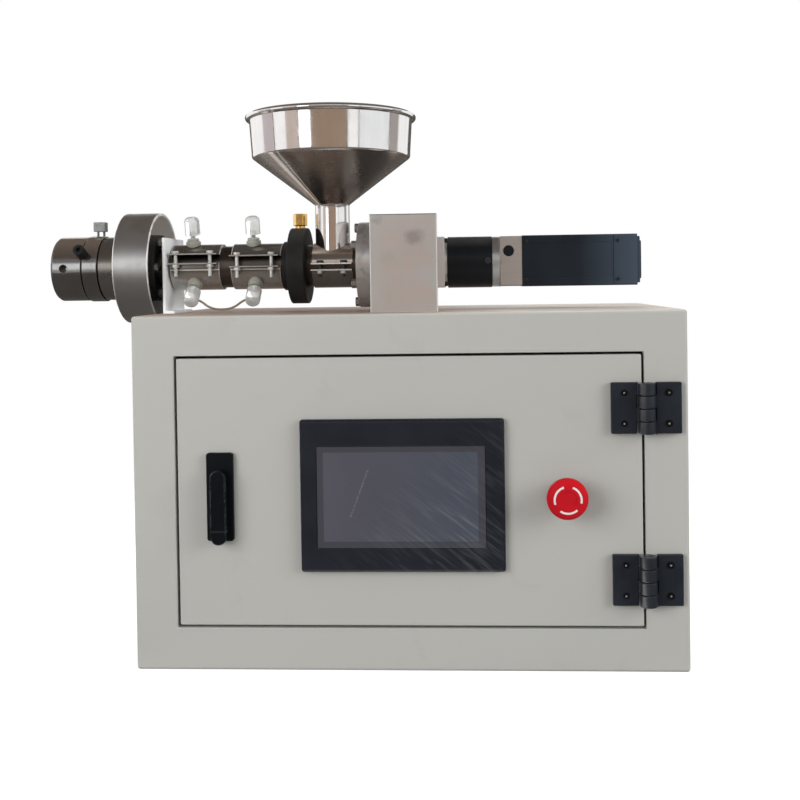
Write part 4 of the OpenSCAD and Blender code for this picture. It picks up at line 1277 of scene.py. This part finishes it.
class BarrelBuild(bpy.types.Operator):
    """Barrel with support, heater bands, terminals, cooling ring and hopper clamp"""

    bl_idname = "extruder.barrel"
    bl_label = "Barrel and heaters"

    def execute(self, context):
        dress("support_plate", "barrel_support", "support_plate", 0.0004)
        dress("barrel_tube", "barrel", "oiled_barrel", 0.0)
        self.bands_and_bolts()
        dress("porcelain_beads", "terminal_beads", "glazed_porcelain", 0.0008, 3)
        self.swell(dress("terminal_studs", "terminal_pins", "zinc_plate", 0.0), 1.0, 1.9)
        self.swell(dress("silicone_caps", "terminal_caps", "milky_silicone", 0.0), 1.10, 1.10)
        dress("dark_collar", "barrel_collar", "blackened_steel", 0.0006)
        dress("water_ring", "cooling_ring", "blackened_steel", 0.001, 3)
        dress("hose_fitting", "brass_fitting", "turned_brass", 0.0006)
        dress("saddle_shell", "hopper_saddle", "stainless_saddle", 0.0)
        dress("clamp_shell", "hopper_clamp", "clamp_steel", 0.0)
        self.lead()
        return {"FINISHED"}

    @staticmethod
    def swell(obj, across, along):
        """Stretches each loose piece from its foot, away from the barrel axis."""
        bm = bmesh.new()
        bm.from_mesh(obj.data)
        left = set(bm.verts)
        while left:
            found, todo = set(), [left.pop()]
            while todo:
                vert = todo.pop()
                found.add(vert)
                near = {e.other_vert(vert) for e in vert.link_edges} & left
                left -= near
                todo += near
            centre = sum((v.co for v in found), Vector()) / len(found)
            out = Vector((0.0, centre.y - AXIS.y, centre.z - AXIS.z)).normalized()
            foot = min((v.co - centre).dot(out) for v in found)
            for v in found:
                away = v.co - centre
                up = away.dot(out)
                v.co = centre + (away - out * up) * across + out * (foot + (up - foot) * along)
        bm.to_mesh(obj.data)
        bm.free()

    @staticmethod
    def bands_and_bolts():
        """Heater bands with painted highlights at both ends of each, bright bolts on them, black ones on the
        clamp.
        """
        names = ("band_heater_left", "band_heater_right")
        for obj, first, last in halves("heater_bands", middle_of("heater_bands").x, 0.00025, *names):
            take_place(obj, "base", "heater_steel", band_finish(obj.name, first, last), "heater_bands")
        looks = {"band_bolts": "zinc_plate", "saddle_bolts": "saddle_bolts"}
        for obj, _, _ in halves("clamp_bolts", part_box("cooling_ring")[0].x, 0.0003, *looks):
            take_place(obj, "base", "bolt_steel", coat(looks[obj.name]), "clamp_bolts")

    @staticmethod
    def lead():
        """The lead between the lower caps, in a shallow sag that is alike on both sides."""
        low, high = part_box("jumper_lead")
        middle = (low.x + high.x) / 2
        top = Vector((0.0, AXIS.y - 0.035, AXIS.z - 0.0364))
        # From the left end: along, towards the front, down
        slope = (
            (0.0, 0.0, 0.0), (0.0012, 0.0, 0.0), (0.00565, 0.0008, 0.0024), (0.01065, 0.0016, 0.006),
            (0.01765, 0.002, 0.0088),
        )
        drops = [(low.x + along, ahead, down) for along, ahead, down in slope]
        drops.append((middle, 0.002, 0.0096))
        drops += [(high.x - along, ahead, down) for along, ahead, down in reversed(slope)]
        route = [top + Vector((x, -ahead, -down)) for x, ahead, down in drops]
        mesh = bpy.data.meshes.new("band_lead")
        mesh.from_pydata(route, [(k, k + 1) for k in range(len(route) - 1)], [])
        sleeve = coat("lead_sleeve")
        obj = grow(
            add_object("band_lead", mesh), lead_tree, "round_lead",
            diameter=sizes().lead_diameter, steps=sizes().lead_steps, finish=sleeve,
        )
        obj.data.shade_smooth()
        take_place(obj, "base", "lead_brown", sleeve, "jumper_lead")


class HopperBuild(bpy.types.Operator):
    """Spun funnel in one sheet, with rolled rim and a neck cut to the saddle"""

    bl_idname = "extruder.hopper"
    bl_label = "Hopper"

    def execute(self, context):
        (wall_low, wall_high), (cone_low, cone_high), (neck_low, neck_high) = (
            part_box(node) for node in ("hopper_wall", "hopper_cone", "hopper_neck")
        )
        sheet, bead, slimmer, seat_gap = 0.0015, 0.0033, 0.0016, 0.00003
        rim, rim_z = (wall_high.x - wall_low.x) / 2 - bead - slimmer, wall_high.z - bead
        wide, wide_z = (cone_high.x - cone_low.x) / 2 + 0.0006, cone_high.z
        neck, neck_z = (neck_high.x - neck_low.x) / 2, neck_high.z
        slope = Vector((wide - neck, wide_z - neck_z)).normalized()
        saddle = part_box("hopper_saddle")[1].z - AXIS.z

        def sit(px, py):
            return AXIS.z + math.sqrt(max(saddle * saddle - py * py, 0.0)) + seat_gap

        # Neck, soft bend, cone, soft bend, leaning wall
        outer = [(neck, None), (neck, neck_z - 0.006), (neck, neck_z - 0.0012)]
        outer += [(neck + 0.0006, neck_z + 0.0003), (neck + slope.x * 0.004, neck_z + slope.y * 0.004)]
        outer += [
            (neck + (wide - neck) * k / 12, neck_z + (wide_z - neck_z) * k / 12) for k in range(2, 12)
        ]
        outer += [(wide - slope.x * 0.0025, wide_z - slope.y * 0.0025), (wide - 0.0006, wide_z - 0.0004)]
        outer += [(wide + 0.00005, wide_z + 0.0008), (wide + 0.0003, wide_z + 0.0025)]
        lean, tall = rim - 0.0009 - wide, rim_z - wide_z
        outer += [(wide + lean * k / 8, wide_z + tall * k / 8) for k in range(1, 8)]
        rolled = arc((rim, rim_z), bead, -106.0, 205.0, 24)
        inner = [(r - sheet, z + (0.0 if z > wide_z else 0.0009)) for r, z in reversed(outer[3:])]
        inner += [(neck - sheet, neck_z - 0.0006), (neck - sheet, neck_z - 0.006), (neck - sheet, None)]
        middle = middle_of("hopper_wall")
        profile = outer + rolled + inner + [outer[0]]
        obj = lathe(
            "hopper_funnel", profile, Vector((middle.x, middle.y, 0.0)), steps=144, foot=sit, sharp=48.0
        )
        look = coat("polished_stainless")
        take_place(obj, "base", "hopper_steel", look, "hopper_wall", "hopper_cone", "hopper_neck")
        return {"FINISHED"}


class DriveBuild(bpy.types.Operator):
    """Flange, bearing block, reducer, adapter and motor"""

    bl_idname = "extruder.drive"
    bl_label = "Drive"

    def execute(self, context):
        dress("turned_flange", "block_flange", "turned_flange", 0.0008, 3)
        dress("hexagon_bolts", "flange_bolts", "oiled_bolts")
        dress("bearing_housing", "bearing_block", "milled_block", 0.0007, 3)
        dress("reducer_plate", "reducer_flange", "reducer_plate")
        dress("plate_screws", "flange_screws", "blackened_steel", 0.0004)
        dress("reducer_case", "reducer_body", "black_anodised", 0.0006)
        dress("adapter_case", "motor_adapter", "milled_adapter", 0.0006)
        dress("access_plug", "adapter_plug", "black_anodised")
        dress("motor_case", "motor_body", "motor_blue_black", 0.0002)
        dress("motor_end", "motor_cover", "motor_blue_black", 0.0002)
        low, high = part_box("motor_body")
        mid = middle_of("motor_body").z
        half_pitch, from_edge, radius, proud = 0.0205, 0.0045, 0.0021, 0.0002
        places = []
        for z in (mid - half_pitch, mid + half_pitch):
            for edge in (low.x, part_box("motor_cover")[0].x):
                for y, way, spin in ((low.y - proud, -1, 90), (high.y + proud, 1, 70)):
                    places.append((Vector((edge + from_edge, y, z)), Vector((0, way, 0)), radius, z * spin))
        screws("motor_screws", "base", "black_steel", "blackened_steel", places, 0.9, 0.35, True)
        right, up, radius = 0.0192, 0.001, 0.0034
        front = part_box("reducer_body")[0].y + 0.0001
        at = Vector((middle_of("reducer_body").x + right, front, mid + up))
        plug = [(at, Vector((0, -1, 0)), radius, 0.4)]
        screws("reducer_plug", "base", "reducer_black", "plug_rim", plug, 0.9, 0.3, True)
        return {"FINISHED"}


class DieBuild(bpy.types.Operator):
    """Die head, its heater and the open drum"""

    bl_idname = "extruder.die"
    bl_label = "Die and drum"

    def execute(self, context):
        dress("die_head", "die_body", "turned_die", 0.0006)
        dress("clamp_ring", "die_ring", "turned_die", 0.0008, 3)
        dress("die_band_heater", "die_heater", "die_heater_steel", 0.0004)
        dress("socket_screw", "die_screw", "blackened_steel")
        dress("heater_connector", "die_connector", "grey_ceramic")
        dress("open_drum", "drum_shroud", "rolled_drum", 0.0007, 3)
        dress("inner_flange", "drum_flange", "blackened_steel", 0.0008)
        low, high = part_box("drum_flange")
        inset, radius = 0.006, 0.0034
        reach = (high.z - low.z) / 2 - inset
        places = []
        for k, turn in enumerate((-160.0, -20.0, 20.0, 160.0)):
            a = math.radians(turn)
            at = Vector((high.x, AXIS.y + reach * math.sin(a), AXIS.z + reach * math.cos(a)))
            places.append((at, Vector((1, 0, 0)), radius, 0.7 * k))
        screws("inner_flange_screws", "base", "black_steel", "zinc_plate", places, 0.85, 0.5, True)
        return {"FINISHED"}


# Stage


def bare_material(name):
    material = bpy.data.materials.new(name)
    material.use_nodes = True
    material.node_tree.nodes.clear()
    return material, material.node_tree


def seen_directly(tree):
    """One for camera, mirror and clear rays, none for scattered light."""
    path = tree.nodes.new("ShaderNodeLightPath").outputs
    seen = maths(tree, "MAXIMUM", path["Is Camera Ray"], path["Is Glossy Ray"])
    return maths(tree, "MAXIMUM", seen, path["Is Transmission Ray"])


def reflected(name, bm, colour, strength):
    """A glowing piece of the stage that only polished metal sees."""
    obj = add_object(name, mesh_from(bm, name))
    material, tree = bare_material(name)
    light = put(tree, "ShaderNodeEmission", {"Color": opaque(colour), "Strength": strength})
    out = tree.nodes.new("ShaderNodeOutputMaterial")
    tree.links.new(light.outputs[0], out.inputs[0])
    obj.data.materials.append(material)
    for hidden in ("visible_camera", "visible_diffuse", "visible_shadow", "visible_transmission"):
        setattr(obj, hidden, False)


def card(name, centre, radius, start, end, low, high, colour, strength):
    """An upright curved card round the machine, or a flat one without height. Angles from the front."""
    bm = bmesh.new()
    steps = 8 if end - start < 180.0 else 48
    rows = []
    for k in range(steps + 1):
        a = math.radians(start + (end - start) * k / steps)
        x, y = centre[0] + radius * math.sin(a), centre[1] - radius * math.cos(a)
        rows.append((bm.verts.new((x, y, low)), bm.verts.new((x, y, high))))
    if high > low:
        for one, two in zip(rows, rows[1:]):
            bm.faces.new((one[0], two[0], two[1], one[1]))
    else:
        bm.faces.new([row[0] for row in rows[:-1]])
    reflected(name, bm, colour, strength)


def flag(name, centre, inner, outer, colour):
    """A dark flat ring over the floor."""
    bm = bmesh.new()
    steps = 48
    rows = []
    for k in range(steps):
        a = 2 * math.pi * k / steps
        rows.append([bm.verts.new((r * math.cos(a), r * math.sin(a), 0.0)) for r in (inner, outer)])
    for one, two in zip(rows, rows[1:] + rows[:1]):
        bm.faces.new((one[0], one[1], two[1], two[0]))
    bmesh.ops.translate(bm, vec=centre, verts=bm.verts)
    reflected(name, bm, colour, 1.0)


class StageBuild(bpy.types.Operator):
    """Pale floor, soft lamps, reflection cards and the camera"""

    bl_idname = "extruder.stage"
    bl_label = "Stage"

    def execute(self, context):
        scene = context.scene
        scene.view_settings.view_transform = "Standard"
        self.camera(scene)
        self.world(scene)
        self.floor()
        for name, place, aim, size, power in (
            ("key", (-1.6, -1.75, 0.85), (0.0, -0.05, 0.25), 1.6, 34.0),
            ("fill", (2.1, -1.1, 1.0), (0.0, -0.05, 0.30), 1.5, 34.0),
            ("top", (0.0, 0.5, 2.2), (0.0, 0.0, 0.3), 1.6, 12.0),
            ("back", (0.4, 2.3, 1.1), (0.0, 0.1, 0.25), 1.6, 22.0),
        ):
            self.lamp(name, place, aim, size, power)
        middle = middle_of("hopper_wall")
        floor, top, ceiling = -0.02, 1.1, 3.2
        ring, line_ring, far_ring, half_line = 2.4, 2.37, 2.9, 0.7
        dark, line = (0.15, 0.125, 0.11), (0.10, 0.085, 0.075)
        for name, start, end, low, high, colour, strength in (
            ("card_middle", -20.0, 29.5, floor, top, (0.40, 0.29, 0.218), 0.83),
            ("card_window_low", -36.0, -20.0, floor, 0.36, (0.92, 0.92, 0.92), 1.0),
            ("card_window", -36.0, -20.0, 0.36, 1.2, (0.95, 0.98, 1.0), 2.6),
            ("card_above", -40.0, -20.0, 1.2, 1.9, (0.36, 0.35, 0.35), 1.0),
            ("card_left", -57.0, -38.0, floor, top, (0.56, 0.475, 0.43), 1.0),
            ("card_far_left", -101.0, -78.0, floor, top, (0.62, 0.55, 0.57), 0.9),
            ("card_right", 46.5, 96.0, floor, top, (0.88, 0.90, 0.92), 1.0),
            ("card_far_right", 97.0, 116.0, floor, top, (0.42, 0.385, 0.375), 0.92),
            ("card_back", 150.0, 215.0, floor, top, (0.12, 0.11, 0.10), 1.0),
        ):
            card(name, middle, ring, start, end, low, high, colour, strength)
        for number, edge in enumerate((-78.0, -37.4, -20.0, 29.6, 46.0, 96.5), 1):
            name, start, end = f"card_line_{number}", edge - half_line, edge + half_line
            card(name, middle, line_ring, start, end, floor, top, line, 1.0)
        card("dark_upper", middle, far_ring, 0.0, 360.0, 1.9, ceiling, dark, 1.0)
        card("dark_ceiling", middle, far_ring, 0.0, 360.0, ceiling, ceiling, dark, 1.0)
        flag("floor_flag", (0.0, -0.05, 0.003), 0.3, 2.3, (0.165, 0.15, 0.138))
        return {"FINISHED"}

    @staticmethod
    def camera(scene):
        """The camera fitted to the photo."""
        data = bpy.data.cameras.new("photo_camera")
        data.sensor_width = 36.0
        data.lens = 47.591
        data.shift_x = -0.02108
        data.shift_y = -0.1254
        camera = bpy.data.objects.new("photo_camera", data)
        scene.collection.objects.link(camera)
        yaw, pitch, roll = -0.0548, -0.0171, -0.0145
        ahead = Vector((math.sin(yaw) * math.cos(pitch), math.cos(yaw) * math.cos(pitch), math.sin(pitch)))
        right = Vector((math.cos(yaw), -math.sin(yaw), 0.0))
        up = right.cross(ahead)
        side = right * math.cos(roll) + up * math.sin(roll)
        top = -right * math.sin(roll) + up * math.cos(roll)
        turn = Matrix((side, top, -ahead)).transposed().to_4x4()
        camera.matrix_world = Matrix.Translation((0.06895, -1.18907, 0.38573)) @ turn
        scene.camera = camera

    @staticmethod
    def world(scene):
        """White where it is seen, soft and warm as light."""
        world = scene.world or bpy.data.worlds.new("studio")
        scene.world = world
        world.use_nodes = True
        tree = world.node_tree
        tree.nodes.clear()
        seen = seen_directly(tree)
        white = put(tree, "ShaderNodeBackground", {"Color": (1.0, 1.0, 1.0, 1.0), "Strength": 1.0})
        soft = put(tree, "ShaderNodeBackground", {"Color": (1.0, 0.985, 0.97, 1.0), "Strength": 0.42})
        both = put(tree, "ShaderNodeMixShader", {0: seen, 1: soft.outputs[0], 2: white.outputs[0]})
        out = tree.nodes.new("ShaderNodeOutputWorld")
        tree.links.new(both.outputs[0], out.inputs[0])

    @staticmethod
    def floor():
        """A pale floor that fades to white with distance."""
        bm = bmesh.new()
        bmesh.ops.create_grid(bm, x_segments=1, y_segments=1, size=12.0)
        obj = add_object("floor", mesh_from(bm, "floor"))
        material, tree = bare_material("pale_floor")
        away = put(tree, "ShaderNodeVectorMath", {0: place_in(tree)}, operation="LENGTH")
        far = spread(tree, away.outputs["Value"], 0.35, 1.1)
        shade = mix_colour(tree, far, (0.86, 0.86, 0.855, 1.0), (0.0, 0.0, 0.0, 1.0))
        bright = mix_colour(tree, far, (0.50, 0.50, 0.50, 1.0), (1.0, 1.0, 1.0, 1.0))
        seen = seen_directly(tree)
        shade = mix_colour(tree, seen, (0.34, 0.335, 0.33, 1.0), shade)
        matt = put(tree, "ShaderNodeBsdfDiffuse", {"Color": shade})
        light = put(tree, "ShaderNodeEmission", {"Color": bright, "Strength": 1.0})
        none = put(tree, "ShaderNodeEmission", {"Color": (1.0, 1.0, 1.0, 1.0), "Strength": 0.0})
        lift = put(tree, "ShaderNodeMixShader", {0: seen, 1: none.outputs[0], 2: light.outputs[0]})
        both = put(tree, "ShaderNodeAddShader", {0: matt.outputs[0], 1: lift.outputs[0]})
        out = tree.nodes.new("ShaderNodeOutputMaterial")
        tree.links.new(both.outputs[0], out.inputs[0])
        obj.data.materials.append(material)

    @staticmethod
    def lamp(name, place, aim, size, power):
        """A round soft lamp that mirrors don't show."""
        data = bpy.data.lights.new(name, "AREA")
        data.shape = "DISK"
        data.size = size
        data.energy = power
        obj = bpy.data.objects.new(name, data)
        bpy.context.scene.collection.objects.link(obj)
        obj.location = place
        obj.rotation_mode = "QUATERNION"
        obj.rotation_quaternion = (Vector(aim) - Vector(place)).to_track_quat("-Z", "Y")
        obj.visible_glossy = False


STEPS = (
    StageBuild, CabinetBuild, HingeBuild, PanelBuild, StopBuild, HandleBuild, BarrelBuild, HopperBuild,
    DriveBuild, DieBuild,
)


class ExtruderPanel(bpy.types.Panel):
    """Sizes, colours and building steps of the extruder"""

    bl_idname = "VIEW3D_PT_extruder"
    bl_label = "Laboratory extruder"
    bl_space_type = "VIEW_3D"
    bl_region_type = "UI"
    bl_category = "Extruder"

    def draw(self, context):
        for owner in (context.scene.extruder_sizes, context.scene.extruder_colours):
            column = self.layout.column()
            for key in owner.__annotations__:
                column.prop(owner, key)
        for step in STEPS:
            self.layout.operator(step.bl_idname)


CLASSES = (ExtruderSizes, ExtruderColours, *STEPS, ExtruderPanel)


def register():
    for cls in CLASSES:
        bpy.utils.register_class(cls)
    bpy.types.Scene.extruder_sizes = PointerProperty(type=ExtruderSizes)
    bpy.types.Scene.extruder_colours = PointerProperty(type=ExtruderColours)


def unregister():
    del bpy.types.Scene.extruder_colours
    del bpy.types.Scene.extruder_sizes
    for cls in reversed(CLASSES):
        bpy.utils.unregister_class(cls)


def main():
    register()
    for step in STEPS:
        group_name, call = step.bl_idname.split(".")
        getattr(getattr(bpy.ops, group_name), call)()


if __name__ == "__main__":
    main()
